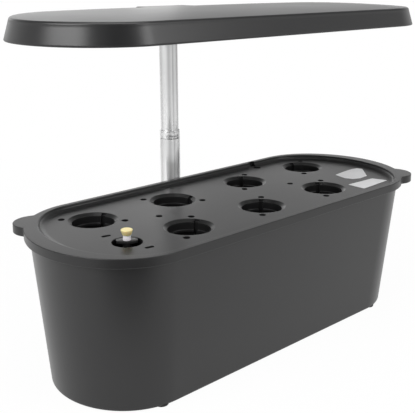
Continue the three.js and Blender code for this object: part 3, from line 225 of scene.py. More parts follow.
# A moulded or painted finish, a little brighter where edges are worn
def moulded(name, color, roughness, **look):
    look = {**plainLook, "roughness": roughness, **look}
    inputs = {
        "Color": (*color, 1),
        "Tone Change": look["toneChange"],
        "Grain Scale": look["grainScale"],
        "Wide Scale": look["wideScale"],
    }
    material, tree, shader, surface, mask = makeMaterial(name, look, mouldGrain, inputs)
    bright = (*(wornTone[0] + wornTone[1] * shade for shade in color), 1)
    mixed = addNode(tree, "Mix", {"Factor": mask, "A": surface["Color"], "B": bright}, data_type="RGBA")
    setInputs(tree, shader, {
        "Base Color": mixed.outputs["Result"],
        "Subsurface Weight": look["subsurface"],
        "Subsurface Scale": 0.002,
    })
    return material


# A drawn metal finish. Painted reflections, where given, are a brightness of the base colour for each angle
# round the mast's axis, in degrees from +X
def drawn(name, color, roughness, paintedReflections=(), **look):
    look = {"metallic": 1.0, "bumpDepth": 0.0001, "roughness": roughness, **look}
    material, tree, shader = makeMaterial(name, look, drawnLines, {})[:3]
    surface = (*color, 1)
    if paintedReflections:
        place = addNode(tree, "TexCoord", {}).outputs["Object"]
        split = addNode(tree, "SeparateXYZ", {0: place}).outputs
        # Painted reflections: the base colour gets brighter and darker by the angle round the mast's axis
        fromAxis = mathNode(tree, "SUBTRACT", split["Y"], (mastAxis[1] + shift[1]) * unit)
        angle = mathNode(tree, "ARCTAN2", fromAxis, split["X"])
        share = mathNode(tree, "ADD", mathNode(tree, "MULTIPLY", angle, 0.5 / math.pi), 0.5)
        stops = [(turn / 360 + 0.5, [level * shade for shade in color]) for turn, level in paintedReflections]
        surface = rampColor(tree, share, stops)
    setInputs(tree, shader, {"Base Color": surface})
    return material


# Painted reflections of the mast: a brightness of its base colour for each angle round its axis
paintedMastReflections = [
    (-180, 0.72), (-171, 0.87), (-160, 0.98), (-150, 1.0), (-144, 0.95), (-137, 0.78), (-131, 0.68),
    (-124, 0.74), (-117, 0.85), (-111, 0.97), (-107, 0.7), (-103, 0.64), (-97, 0.83), (-89, 1.0),
    (-80, 0.88), (-68, 0.6), (-52, 0.82), (-20, 0.7), (15, 0.92), (45, 0.74), (70, 0.95),
    (100, 0.7), (130, 0.9), (155, 0.8), (176, 0.68),
]
finishes = {
    "tank": moulded("tankPlastic", (0.014, 0.014, 0.0144), 0.3, glossChange=0.04, bump=0.05),
    "deck": moulded("deckPlastic", (0.011, 0.011, 0.0113), 0.34, bump=0.08),
    "hood": moulded("hoodPlastic", (0.013, 0.013, 0.0135), 0.32, bump=0.05),
    "inner": moulded("innerPlastic", (0.02, 0.02, 0.021), 0.5),
    "button": moulded("buttonPlastic", (0.1, 0.1, 0.102), 0.42),
    "opal": moulded("opalSheet", (0.82, 0.82, 0.8), 0.42, toneChange=0.02, bump=0.03),
    "ledBoard": moulded("ledBoardWhite", (0.75, 0.76, 0.76), 0.5, toneChange=0.05),
    "driverBoard": moulded("driverBoardGreen", (0.02, 0.11, 0.05), 0.45),
    "floatYellow": moulded(
        "floatCapYellow", (0.98, 0.84, 0.4), 0.34, toneChange=0.05, subsurface=0.2, bump=0.05
    ),
    "floatWhite": moulded("floatStemWhite", (0.93, 0.9, 0.94), 0.38, toneChange=0.03, bump=0.04),
    "floatFoam": moulded("floatFoam", (0.85, 0.84, 0.8), 0.85, grainScale=420.0, bump=0.5),
    "pump": moulded("pumpPlastic", (0.016, 0.016, 0.017), 0.48),
    "magnet": moulded("ferrite", (0.05, 0.046, 0.045), 0.6, metallic=0.2),
    "ceramic": moulded("ceramic", (0.8, 0.78, 0.73), 0.25, toneChange=0.04),
    "rubber": moulded("softRubber", (0.018, 0.018, 0.018), 0.8, grainScale=600.0, bump=0.25),
    "plate": moulded("plateFoil", (0.78, 0.78, 0.79), 0.42, toneChange=0.14, wideScale=60.0, bump=0.05),
    "card": moulded("cardBlack", (0.02, 0.02, 0.02), 0.9),
    "screw": drawn("screwSteel", (0.5, 0.5, 0.51), 0.34, glossChange=0.08, bump=0.05),
    "steel": drawn(
        "mastSteel", (0.99, 0.992, 0.995), 0.18, paintedMastReflections, metallic=0.55, glossChange=0.05, bump=0.03
    ),
}
print("finishes made")

# Mesh tools


# Values that belong together, such as x, y and z of a grid, along a last axis
def together(*values):
    return np.stack(np.broadcast_arrays(*values), axis=-1)


# Value that changes evenly from the first of a pair to the second
def between(pair, share):
    return pair[0] + (pair[1] - pair[0]) * share


# Length of each row of an array, kept beside it
def lengths(rows):
    return np.linalg.norm(rows, axis=1, keepdims=True)


# Angles of a quarter turn, from 0 to 90 degrees
def quarter(steps):
    return np.linspace(0, math.pi / 2, steps + 1)


# Angles of a whole turn, whose last one meets the first
def fullTurn(segments, start=0.0):
    return np.linspace(start, start + 2 * np.pi, segments, endpoint=False)


# Quads of a grid whose columns run round and meet; the last row can meet the first one too
def gridFaces(rows, columns, rowsMeet=False):
    row = np.arange(rows if rowsMeet else rows - 1)[:, None]
    column = np.arange(columns)
    nextRow, nextColumn = (row + 1) % rows, (column + 1) % columns
    corners = [(row, column), (row, nextColumn), (nextRow, nextColumn), (nextRow, column)]
    return np.stack([down * columns + across for down, across in corners], axis=-1).reshape(-1, 4)


# Grid of points (rows, columns, 3) as one part. Its rows "meet", or its end rows are fanned to their middle
# points, both where it is "closed" and only one where it says "last"
def gridPart(points, ends="open"):
    rows, columns = points.shape[:2]
    vertices = [points.reshape(-1, 3)]
    faces = [gridFaces(rows, columns, ends == "meet")]
    column = np.arange(columns)
    for row in {"closed": (0, rows - 1), "last": (rows - 1,)}.get(ends, ()):
        middle = rows * columns + len(vertices) - 1
        vertices.append(points[row].mean(axis=0)[None])
        faces.append(together(row * columns + column, row * columns + (column + 1) % columns, middle))
    return np.concatenate(vertices), faces


# One object from several parts: joined, doubles merged, faces turned outwards, smooth up to an angle.
# Where it stands for a CAD node it takes that node and the slot of its finish
def makePiece(name, parts, finish, body, node=None, sharpAngle=38, evenNormals=False):
    vertices = (np.concatenate([points for points, faces in parts]) + shift) * unit
    starts = np.cumsum([0, *(len(points) for points, faces in parts)])
    blocks = [block + start for (points, faces), start in zip(parts, starts) for block in faces]
    corners = np.concatenate([block.ravel() for block in blocks])
    counts = np.concatenate([np.full(len(block), block.shape[1]) for block in blocks])
    mesh = bpy.data.meshes.new(name)
    mesh.vertices.add(len(vertices))
    mesh.vertices.foreach_set("co", vertices.astype(np.float32).ravel())
    mesh.loops.add(len(corners))
    mesh.loops.foreach_set("vertex_index", corners.astype(np.int32))
    mesh.polygons.add(len(counts))
    mesh.polygons.foreach_set("loop_start", np.concatenate([[0], np.cumsum(counts)[:-1]]).astype(np.int32))
    mesh.update(calc_edges=True)
    mesh.validate()
    shell = bmesh.new()
    shell.from_mesh(mesh)
    bmesh.ops.remove_doubles(shell, verts=shell.verts, dist=mergeDistance)
    bmesh.ops.recalc_face_normals(shell, faces=shell.faces)
    shell.to_mesh(mesh)
    shell.free()
    mesh.shade_smooth()
    mesh.set_sharp_from_angle(angle=math.radians(sharpAngle))
    mesh.materials.append(finishes[finish])
    obj = addObject(name, mesh)
    if evenNormals:
        weighted = obj.modifiers.new("even normals", "WEIGHTED_NORMAL")
        weighted.mode = "FACE_AREA"
        weighted.keep_sharp = True
    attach(obj, body)
    if node:
        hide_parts(node)
    return obj


# Each corner of a closed outline becomes an arc that touches both of its sides
def roundCorners(corners, radii, steps=5, straight=0.999999):
    point = np.asarray(corners, float)
    radius = np.broadcast_to(np.asarray(radii, float), len(point))[:, None]
    before = np.roll(point, 1, axis=0) - point
    after = np.roll(point, -1, axis=0) - point
    before /= lengths(before)
    after /= lengths(after)
    half = np.arccos(np.clip(np.sum(before * after, axis=1, keepdims=True), -straight, straight)) / 2
    reach = radius / np.tan(half)
    bisector = before + after
    bisector /= lengths(bisector)
    centre = point + bisector * radius / np.sin(half)
    first = (point + before * reach - centre)[:, None, :]
    last = (point + after * reach - centre)[:, None, :]
    sweep = (math.pi - 2 * half)[:, None, :]
    share = np.linspace(0, 1, steps + 1)[None, :, None]
    arc = (np.sin((1 - share) * sweep) * first + np.sin(share * sweep) * last) / np.sin(sweep)
    return (centre[:, None, :] + arc).reshape(-1, 2)


# Rings round a vertical axis: x = centre + radius * cos(turn) and y = centre + radius * sin(turn)
def roundAxis(radius, height, centre, turn):
    return together(centre[0] + radius * np.cos(turn), centre[1] + radius * np.sin(turn), height)


# Closed section of [radius, height] carried round a vertical axis
def turnedPart(section, radii, centre=(0, 0), segments=96, steps=4):
    profile = roundCorners(section, radii, steps)
    return gridPart(roundAxis(profile[:, :1], profile[:, 1:], centre, fullTurn(segments)), "meet")


# Lowest and highest corner of a CAD node, in the drawing's millimetres
def drawnBox(node):
    low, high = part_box(node)
    return np.array(low) / unit - shift, np.array(high) / unit - shift


# Oval path, with more points where a tab or the cable's notch needs them
path = {
    "endSteps": 96, "sideSteps": 44, "tabTurn": -47.9, "tabWindow": 19, "tabSteps": 110,
    "notchX": 89.0, "notchHalf": 3.0, "notchEdge": np.array([-0.25, -0.12, 0.0, 0.12, 0.25]),
}


# Shares that place one turn of the path:
# x = along * straight half length + cap * end depth, y = across * half width
def ovalShares(setup, straightHalf):
    window = setup["tabTurn"] + np.linspace(-setup["tabWindow"], setup["tabWindow"], setup["tabSteps"])
    turns = np.unique(np.round(np.concatenate([np.linspace(-90, 90, setup["endSteps"] + 1), window]), 4))
    turns = np.radians(turns)
    notch = [setup["notchX"] + side * setup["notchHalf"] + setup["notchEdge"] for side in (-1, 1)]
    sideX = np.linspace(straightHalf, -straightHalf, setup["sideSteps"] + 1)[1:-1]
    backX = np.sort(np.concatenate([sideX, *notch]))[::-1] / straightHalf
    frontX = sideX[::-1] / straightHalf
    end = together(1, np.cos(turns), np.sin(turns))
    return np.concatenate([end, together(backX, 0, 1), -end, together(frontX, 0, -1)]).T


# Rings of an oval: half length, half width and end depth per level, heights beside them
def ovalRings(shares, *levels):
    along, cap, across = shares
    halfLength, halfWidth, endDepth, height = (np.asarray(level, float)[:, None] for level in levels)
    return together(along * (halfLength - endDepth) + cap * endDepth, across * halfWidth, height)


# Outward direction of the oval at each point of its path
def ovalNormals(shares, halfWidth, endDepth):
    along, cap, across = shares
    x = np.where(np.abs(along) == 1, cap / endDepth, 0)
    y = across / halfWidth
    length = np.hypot(x, y)
    return x / length, y / length


# Tank
tank = {
    "bottom": 1.0, "height": 111.7, "straightHalf": 117.3, "halfLength": (168.2, 176.1),
    "halfWidth": (58.6, 67.1), "endShare": (0.95, 0.885), "wall": 2.0, "floor": 3.8,
    "edgeRound": 1.5, "floorRound": 6.0, "beadHeight": 1.6, "beadReach": 0.4, "lipRound": 0.4,
    "lipCut": 0.1,
}
tankShares = ovalShares(path, tank["straightHalf"])


# Rings of the tank for heights above its bottom and insets from its face; its size grows evenly
def tankRings(height, inset):
    share = height / tank["height"]
    halfLength = between(tank["halfLength"], share) - inset
    halfWidth = between(tank["halfWidth"], share) - inset
    endDepth = halfWidth * between(tank["endShare"], share)
    return ovalRings(tankShares, halfLength, halfWidth, endDepth, tank["bottom"] + height)


# Profile from the underside out, up the wall, over the mouth and down to the floor inside, as [height, inset]
def tankProfile():
    high, reach, wall, floor = tank["height"], tank["beadReach"], tank["wall"], tank["floor"]
    outer, inner, lip, cut = tank["edgeRound"], tank["floorRound"], tank["lipRound"], tank["lipCut"]
    bead = high - tank["beadHeight"]
    turn, floorTurn = quarter(8), quarter(7)[::-1]
    base = together(outer * (1 - np.cos(turn)), outer * (1 - np.sin(turn)))
    side = together(np.linspace(outer + 2, bead - reach - 0.6, 12), 0)
    mouth = [
        [bead - reach, 0], [bead - 0.15, -reach * 0.7], [bead + cut, -reach], [high - lip, -reach],
        [high - cut, -reach + 0.12], [high, -reach + lip], [high, wall - lip], [high - cut, wall - cut],
        [high - lip, wall],
    ]
    inside = together(np.linspace(high - 4, floor + inner + 3, 8), wall)
    bottom = together(floor + inner * (1 - np.cos(floorTurn)), wall + inner * (1 - np.sin(floorTurn)))
    return np.concatenate([base, side, mouth, inside, bottom])


# Socket for the mast: a turned tube behind the tank, and a web that flares into the wall
socket = {
    "bottom": 1.8, "top": 99.8, "outer": 12.4, "bore": 9.0, "floor": 11.8, "screwHole": 2.1,
    "headHole": 3.8, "headTop": 5.8, "webHalf": 9.0, "webSink": 1.3, "webSeat": 10.7,
    "flare": 5.0, "flareReach": 2.5, "bunching": 1.8,
}


# Tube with a floor, and in it the hole for the screw and its head
def socketTube(setup):
    low, high, floor, headTop = (setup[key] for key in ("bottom", "top", "floor", "headTop"))
    outer, bore, hole, head = (setup[key] for key in ("outer", "bore", "screwHole", "headHole"))
    section = [
        (hole, floor), (bore, floor), (bore, high), (outer, high),
        (outer, low), (head, low), (head, headTop), (hole, headTop),
    ]
    return turnedPart(section, [0.1, 0.3, 0.7, 0.7, 0.8, 0.3, 0.1, 0.1], mastAxis)


# Web outline at each height: half width = web + flare * exp(-distance from the wall / reach),
# with an end that follows the middle of the tube's wall
def webPart(setup):
    low, high, seat = setup["bottom"], setup["top"], setup["webSeat"]
    rise = [low, low + 0.3, low + 0.8, *np.linspace(8, high - 1.2, 24), high - 0.5, high - 0.15, high]
    rise = np.array(rise)[:, None]
    inset = np.array([0.8, 0.3, 0.0, *np.zeros(24), 0.15, 0.45, 0.9])[:, None]
    wallY = between(tank["halfWidth"], (rise - tank["bottom"]) / tank["height"])
    startY = wallY - setup["webSink"]
    endTurn = math.asin(setup["webHalf"] / seat)
    endY = mastAxis[1] - seat * math.cos(endTurn)
    y = startY + (endY - startY) * np.linspace(0, 1, 28) ** setup["bunching"]
    flare = setup["flare"] * np.exp(-np.maximum(y - wallY, 0) / setup["flareReach"])
    halfX = setup["webHalf"] + flare - inset
    turn = np.linspace(endTurn, -endTurn, 13)[1:-1] + 0 * wallY
    x = np.concatenate([halfX, seat * np.sin(turn), -halfX[:, ::-1]], axis=1)
    y = np.concatenate([y, mastAxis[1] - seat * np.cos(turn), y[:, ::-1]], axis=1)
    return gridPart(together(x, y, rise), "closed")


tankPieces = {
    "tank_shell": gridPart(tankRings(*tankProfile().T), "closed"),
    "mast_socket": socketTube(socket),
    "socket_web": webPart(socket),
}
for name, part in tankPieces.items():
    makePiece(name, [part], "tank", "base", "tank")
print("tank made")

# Feet
foot = {
    "places": [(-121.5, -52.5), (121.5, -52.5), (-121.5, 52.5), (121.5, 52.5)],
    "radius": 5.5, "top": 1.75, "draft": 0.3, "dish": 0.35, "dishInset": 2.2, "ringInset": 1.6,
}
for number, place in enumerate(foot["places"], 1):
    radius, dish, top = foot["radius"], foot["dish"], foot["top"]
    section = [
        (0, dish), (radius - foot["dishInset"], dish), (radius - foot["ringInset"], 0),
        (radius - foot["draft"], 0), (radius, top), (0, top),
    ]
    part = turnedPart(section, [0, 0.2, 0.2, 0.45, 0.1, 0], place, 64)
    makePiece(f"rubber_foot_{number}", [part], "rubber", "base", f"foot_{number}")
print("feet made")

# Mast: outer radius, bore and rounding of each tube, and depth and distance of the grooves' corners
mast = {
    "lower": (8.7, 8.05, 0.2), "upper": (7.75, 7.05, 0.15), "segments": 128,
    "lowGroove": [(0, 1.1), (0.25, 1.3), (0.25, 1.6), (0, 1.8)],
    "highGroove": [(0, 1.5), (0.2, 1.35), (0.2, 1.1), (0, 0.95)],
    "grooveRadii": [0.08, 0.05, 0.05, 0.08],
}


# Tube between the heights of its CAD node, with rounded rims
def mastTube(node, outer, bore, rim):
    low, high = drawnBox(node)
    section = [(bore, low[2]), (outer, low[2]), (outer, high[2]), (bore, high[2])]
    return turnedPart(section, [0.05, rim, rim, 0.1], mastAxis, mast["segments"])


# Collar: a band with a fine groove near each end
def mastCollar(outer, bore):
    low, high = drawnBox("tube_collar")
    bottom, top = low[2], high[2]
    lower = [(outer - depth, bottom + distance) for depth, distance in mast["lowGroove"]]
    upper = [(outer - depth, top - distance) for depth, distance in mast["highGroove"]]
    section = [(bore, bottom), (outer, bottom), *lower, *upper, (outer, top), (bore, top)]
    radii = [0.05, 0.2, *mast["grooveRadii"] * 2, 0.4, 0.1]
    return turnedPart(section, radii, mastAxis, mast["segments"])


makePiece("mast_lower_tube", [mastTube("lower_tube", *mast["lower"])], "steel", "base", "lower_tube")
makePiece("mast_collar", [mastCollar(*mast["lower"][:2])], "steel", "base", "tube_collar")
makePiece("mast_upper_tube", [mastTube("upper_tube", *mast["upper"])], "steel", "hood", "upper_tube")
print("mast made")

# Deck
deck = {
    "rimHalf": (180.0, 71.0), "rimEndDepth": 62.693, "rimBottom": 112.4, "rimTop": 119.1,
    "top": 115.3, "under": 113.0, "skirtBottom": 108.0, "wallInset": 4.9, "cove": (4.0, 2.6),
    "leftEnd": (7.5, 10.5), "rightEnd": (6.0, 5.5), "recessRows": 19, "innerEdge": 0.8,
    "edge": 0.5, "draft": 0.12, "lapInset": 2.55, "skirtInset": 6.55, "skirtWall": 1.6,
    "skirtEdge": 0.4, "tabCentre": (156.0, -48.5), "tabRadius": 15.0, "tabBlend": 1.1,
    "notchFloor": 115.36, "notchSkin": 2.3, "notchEase": (0.02, 0.01),
}
rimShares = ovalShares(path, deck["rimHalf"][0] - deck["rimEndDepth"])


# Rings of the rim, for insets from its outer edge
def rimRings(inset, height):
    halfLength, halfWidth = deck["rimHalf"]
    return ovalRings(rimShares, halfLength - inset, halfWidth - inset, deck["rimEndDepth"] - inset, height)


# Further inset of the recess at the rim's ends, changing evenly from the top down to the deck
def recessEnd(profile, insets):
    low, high = deck["top"], deck["rimTop"]
    share = np.clip((high - profile[:, 1:2]) / (high - low), 0, 1)
    return np.where(np.arange(len(profile))[:, None] < deck["recessRows"], between(insets, share), 0.0)


# How far the tabs push the rim's edge out along its normal, to a circle round the tab's centre
def tabReach(normalX, normalY):
    ring = rimRings(np.zeros(1), [0])[0]
    reach = np.zeros(len(ring))
    for side in (1, -1):
        awayX = ring[:, 0] - side * deck["tabCentre"][0]
        awayY = ring[:, 1] - side * deck["tabCentre"][1]
        dot = awayX * normalX + awayY * normalY
        inner = dot**2 - awayX**2 - awayY**2 + deck["tabRadius"] ** 2
        reach = np.maximum(reach, np.where(inner > 0, -dot + np.sqrt(np.maximum(inner, 0)), 0))
    # A weighted mean over the nearest stretch of the path turns the inner corners into blends
    step = np.hypot(*(np.roll(ring, -1, axis=0) - ring)[:, :2].T)
    run = np.concatenate([[0], np.cumsum(step)[:-1]])
    apart = np.abs(run[:, None] - run)
    apart = np.minimum(apart, step.sum() - apart)
    weight = np.exp(-((apart / deck["tabBlend"]) ** 2)) * ((step + np.roll(step, 1)) / 2)
    return (weight * reach).sum(axis=1) / weight.sum(axis=1)


# Profile of the rim as [inset, height, share of the tab's reach], from the deck out and back underneath
def rimProfile():
    wall, cove, edge, inner = deck["wallInset"], deck["cove"], deck["edge"], deck["innerEdge"]
    top, bottom, under, low = deck["rimTop"], deck["rimBottom"], deck["under"], deck["skirtBottom"]
    lap, skirt, cut = deck["lapInset"], deck["skirtInset"], deck["skirtEdge"]
    skin, draft, skirtBack = deck["notchSkin"], deck["draft"], skirt + deck["skirtWall"]
    turn, coveTurn, down = quarter(5), quarter(12), np.linspace(0.3, 0.85, 3)
    back = [
        [lap, bottom, 0], [lap, under, 0], [skirt, under, 0], [skirt, low + cut, 0],
        [skirt + cut, low, 0], [skirtBack - cut, low, 0], [skirtBack, low + cut, 0],
        [skirtBack, under, 0],
    ]
    return np.concatenate([
        together(wall + cove[0] * (1 - np.sin(coveTurn)), deck["top"] + cove[1] * (1 - np.cos(coveTurn)), 0),
        together(wall - inner * (1 - np.cos(turn)), top - inner + inner * np.sin(turn), 0),
        [[skin + 0.05, top, 0], [skin, top, 0]],
        together(draft + edge * (1 - np.sin(turn)), top - edge + edge * np.cos(turn), 1),
        together(draft * (1 - down), top - edge - down * (top - bottom - 2 * edge), 1),
        together(edge * (1 - np.cos(turn)), bottom + edge - edge * np.sin(turn), 1),
        back,
    ])


# Rim: rings of its profile, with the recess drawn in at the ends and the tabs pushed out
def rimPart():
    profile = rimProfile()
    rings = rimRings(*profile[:, :2].T)
    cap = rimShares[1]
    ends = np.where(cap > 0, recessEnd(profile, deck["rightEnd"]), recessEnd(profile, deck["leftEnd"]))
    normals = ovalNormals(rimShares, deck["rimHalf"][1], deck["rimEndDepth"])
    push = profile[:, 2:3] * tabReach(*normals)
    x = rings[:, :, 0] - cap * ends + push * normals[0]
    y = rings[:, :, 1] + push * normals[1]
    # Behind its outer skin the rim's top drops to just over the deck where the cable goes through
    ease = deck["notchEase"]
    inNotch = (np.abs(x - path["notchX"]) < path["notchHalf"] + ease[0]) & (y > 0)
    inNotch &= profile[:, :1] > deck["notchSkin"] + ease[1]
    z = np.where(inNotch, np.minimum(rings[:, :, 2], deck["notchFloor"]), rings[:, :, 2])
    return together(x, y, z)


rimGrid = rimPart()

holes = {
    "places": [
        (-115.9, 31.6), (-38.3, 31.6), (44.3, 31.6), (121.9, 31.6),
        (-73.5, -28.8), (3.0, -28.8), (79.5, -28.8),
    ],
    "keyTurns": [28, -6, 56, 76, 30, 46, 56],
    "diagonals": [-1, -1, 1, 1, 1, 1, 1],
    "mouth": 19.2, "throat": 16.0, "mouthDepth": 1.9, "outer": 17.8, "depth": 20.0,
    "ledgeDepth": 7.5, "ledgeHeight": 1.6, "ledgeWidth": 1.7, "keyHalf": 1.8, "keyReach": 1.2,
    "keyDepth": 12.0, "keyMouth": 0.4, "keyStep": 0.05, "keyInset": 0.35, "tiny": 0.001,
    "bunching": 0.012, "segments": 240,
}
port = {"centre": (-126.2, -24.8), "radius": 10.75, "wall": 1.8, "depth": 8.0, "segments": 120}
vents = {"radius": 2.6, "reach": 24.0, "lone": [(-73.7, 5.5), (69.0, -0.2)], "segments": 28}
slots = {
    "half": (3.5, 1.6), "turn": -7.0, "places": [(-129.7, -4.8), (-121.2, -43.2)], "segments": 28,
    "start": 0.01,
}
cableHole = {"centre": (89.0, 59.2), "radius": 3.3, "segments": 40}


# Profile of a planting hole as [radius, height]: mouth, chamfer, throat, ledge, lower end and outer face
def collarProfile():
    top, throat, mouth, outer = deck["top"], holes["throat"], holes["mouth"], holes["outer"]
    chamferFoot = top - holes["mouthDepth"]
    ledgeTop = top - holes["ledgeDepth"]
    ledgeLow = ledgeTop - holes["ledgeHeight"]
    ledge = throat - holes["ledgeWidth"]
    low = top - holes["depth"]
    return np.array([
        (mouth, top), (mouth - 0.32, top - 0.06), (mouth - 0.6, top - 0.24),
        (throat + 0.35, chamferFoot + 0.1), (throat + 0.1, chamferFoot - 0.2),
        (throat, chamferFoot - 0.6), (throat, ledgeTop + 0.35), (throat - 0.12, ledgeTop + 0.1),
        (throat - 0.4, ledgeTop), (ledge + 0.3, ledgeTop), (ledge + 0.08, ledgeTop - 0.1),
        (ledge, ledgeTop - 0.35), (ledge, ledgeLow), (throat, ledgeLow),
        (throat, top - holes["keyDepth"] - 0.5), (throat, low + 0.5), (throat + 0.2, low),
        (outer - 0.5, low), (outer, low + 0.5), (outer, deck["under"]),
    ])


# Collar with its key slot: radius = profile, pushed out to the slot's depth within the slot's width
def collarPart(place, keyTurn, outerRows=4):
    profile = collarProfile()
    throat, tiny = holes["throat"], holes["tiny"]
    keyLow = deck["top"] - holes["keyDepth"]
    stepZ = deck["under"] + holes["keyMouth"]
    for breakZ in (stepZ, keyLow):
        extra = np.array([[throat, breakZ], [throat, breakZ - holes["keyStep"]]])
        index = int(np.argmax(profile[:, 1] < breakZ + tiny))
        profile = np.concatenate([profile[:index], extra, profile[index:]])
    span = holes["keyHalf"] / throat
    near = holes["bunching"] * np.array([-1, 0, 1])
    turn = np.sort(np.concatenate([fullTurn(holes["segments"], -np.pi), near - span, near + span]))
    radius, height = np.broadcast_arrays(profile[:, :1], profile[:, 1:], turn)[:2]
    innerFace = (np.arange(len(profile)) < len(profile) - outerRows)[:, None]
    slotted = (np.abs(turn) < span) & innerFace & (height > keyLow - tiny)
    reach = np.where(height > stepZ - tiny, holes["mouth"] - holes["keyInset"], throat + holes["keyReach"])
    radius = np.where(slotted, np.maximum(radius, reach), radius)
    return roundAxis(radius, height, place, turn + math.radians(keyTurn))


# Fill port: a rounded mouth, a short tube and its outer face
def portPart():
    top, radius, outer = deck["top"], port["radius"], port["radius"] + port["wall"]
    low = top - port["depth"]
    profile = np.array([
        (radius + 0.5, top), (radius + 0.27, top - 0.04), (radius + 0.08, top - 0.18),
        (radius, top - 0.45), (radius, low + 0.3), (radius + 0.3, low), (outer - 0.3, low),
        (outer, low + 0.3), (outer, deck["under"]),
    ])
    return roundAxis(profile[:, :1], profile[:, 1:], port["centre"], fullTurn(port["segments"]))


# Wall of a small opening through the plate, from an outline, with a slightly rounded upper edge
def openingWall(outline, centre, edge=0.25):
    away = outline - centre
    rounding = edge * np.array([(1, 0), (0.45, 0.24), (0.1, 0.5), (0, 1)])
    steps = np.concatenate([rounding, [(0, deck["top"] - deck["under"])]])
    rings = centre + away * (1 + steps[:, None, :1] / lengths(away))
    return together(rings[..., 0], rings[..., 1], deck["top"] - steps[:, 1:])


# Outline of a round hole
def circle(centre, setup):
    return roundAxis(setup["radius"], 0, centre, fullTurn(setup["segments"]))[:, :2]


# Long hole: a circle whose halves are pulled apart, then turned
def longHole(centre, setup):
    halfLength, halfWidth = setup["half"]
    turn = fullTurn(setup["segments"], setup["start"])
    x = halfWidth * np.cos(turn) + np.sign(np.cos(turn)) * (halfLength - halfWidth)
    y = halfWidth * np.sin(turn)
    c, s = math.cos(math.radians(setup["turn"])), math.sin(math.radians(setup["turn"]))
    return together(centre[0] + x * c - y * s, centre[1] + x * s + y * c)


# Flat face between an outer outline and the outlines of its openings
def plateFace(outer, openings, height):
    outlines = [outline[:, :2] for outline in (outer, *openings)]
    corners = [[Vector((x, y, 0)) for x, y in outline] for outline in outlines]
    flat = np.concatenate(outlines)
    return together(flat[:, 0], flat[:, 1], height), [np.array(geometry.tessellate_polygon(corners))]


# Narrow last ring of a crown, closed by triangles from side to side
def acrossPart(ring, insideOnly=1, nearest=1e-5):
    flat = [Vector((x, y)) for x, y in ring[:, :2]]
    made = geometry.delaunay_2d_cdt(flat, [], [list(range(len(ring)))], insideOnly, nearest)
    given = np.array([sources[0] for sources in made[3]])
    return ring, [given[np.array(made[2])]]


# Air holes: two beside each planting hole on one of its diagonals, and the lone ones
def ventPlaces():
    reach = vents["reach"] / math.sqrt(2)
    pairs = [
        (x + way * reach, y + way * side * reach)
        for (x, y), side in zip(holes["places"], holes["diagonals"])
        for way in (1, -1)
    ]
    return vents["lone"] + pairs


openWalls = [collarPart(place, turn) for place, turn in zip(holes["places"], holes["keyTurns"])]
openWalls.append(portPart())
openWalls += [openingWall(circle(place, vents), place) for place in ventPlaces()]
openWalls += [openingWall(longHole(place, slots), place) for place in slots["places"]]
openWalls.append(openingWall(circle(cableHole["centre"], cableHole), cableHole["centre"]))
deckParts = [
    gridPart(rimGrid),
    plateFace(rimGrid[0], [wall[0] for wall in openWalls], deck["top"]),
    plateFace(rimGrid[-1], [wall[-1] for wall in openWalls], deck["under"]),
    *[gridPart(wall) for wall in openWalls],
]
makePiece("deck_moulding", deckParts, "deck", "deck", "grow_deck", 32, True)

tongue = {
    "halfWidth": 7.6, "nose": 3.4, "rootTurn": math.radians(55), "offset": 4.4, "wallRadius": 11.2,
    "top": 115.1, "thickness": 1.7, "edge": 0.4, "cut": 0.12, "bore": 2.2, "boreEdge": (0.25, 0.2),
    "sleeve": 3.3, "sleeveLow": 100.5, "segments": 144,
}
floatAxis = roundAxis(tongue["offset"], 0, port["centre"], tongue["rootTurn"])[:2]


# Tongue with its guide sleeve, round the float's axis: an ellipse in front, and behind it
# radius = half width / sine of the turn, up to the port's wall
def tonguePart():
    turn = fullTurn(tongue["segments"], -np.pi)
    side, ahead, offset = np.sin(turn), np.cos(turn), tongue["offset"]
    wall = -offset * ahead + np.sqrt(tongue["wallRadius"] ** 2 - (offset * side) ** 2)
    straight = tongue["halfWidth"] / np.maximum(np.abs(side), 1e-6)
    nose = 1 / np.hypot(ahead / tongue["nose"], side / tongue["halfWidth"])
    outline = np.where(ahead > 0, np.minimum(straight, wall), np.minimum(nose, wall))
    top, low, edge, cut = tongue["top"], tongue["top"] - tongue["thickness"], tongue["edge"], tongue["cut"]
    bore, sleeve, sleeveLow = tongue["bore"], tongue["sleeve"], tongue["sleeveLow"]
    levels = [
        (bore, sleeveLow), (bore, top - tongue["boreEdge"][1]), (bore + tongue["boreEdge"][0], top),
        (outline - edge, top), (outline - cut, top - cut), (outline, top - edge), (outline, low),
        (sleeve, low), (sleeve, sleeveLow),
    ]
    rings = [roundAxis(radius, height, floatAxis, turn + tongue["rootTurn"]) for radius, height in levels]
    return gridPart(np.stack(rings), "meet")


makePiece("float_guide", [tonguePart()], "deck", "deck", "grow_deck")

# Two bare plates let into the deck, each from its corners: flat on top, with a fine bevel
plates = {
    "corners": {
        "leaf": [
            (118.6, -21.5), (121.4, -28.2), (128.5, -31.4), (139.8, -30.3), (157.2, -12.4),
            (155.6, -7.4), (149.5, -6.0), (140.0, -6.4), (130.2, -7.6), (121.6, -8.7),
        ],
        "strip": [(103.0, -54.3), (140.0, -52.1), (135.3, -39.2), (103.2, -37.4)],
    },
    "rounding": {"leaf": 1.2, "strip": 0.7},
    "height": 0.28, "bevel": 0.12, "sink": 0.02,
}
for name, corners in plates["corners"].items():
    outline = roundCorners(corners, plates["rounding"][name], 6)
    middle = outline.mean(axis=0)
    away = outline - middle
    height, bevel = plates["height"], plates["bevel"]
    inset = np.array([0.0, 0.0, bevel])[:, None, None]
    rise = deck["top"] + np.array([-plates["sink"], height - bevel, height])[:, None]
    rings = middle + away * (1 - inset / lengths(away))
    part = gridPart(together(rings[..., 0], rings[..., 1], rise), "closed")
    makePiece(f"plate_{name}", [part], "plate", "deck")
print("deck made")

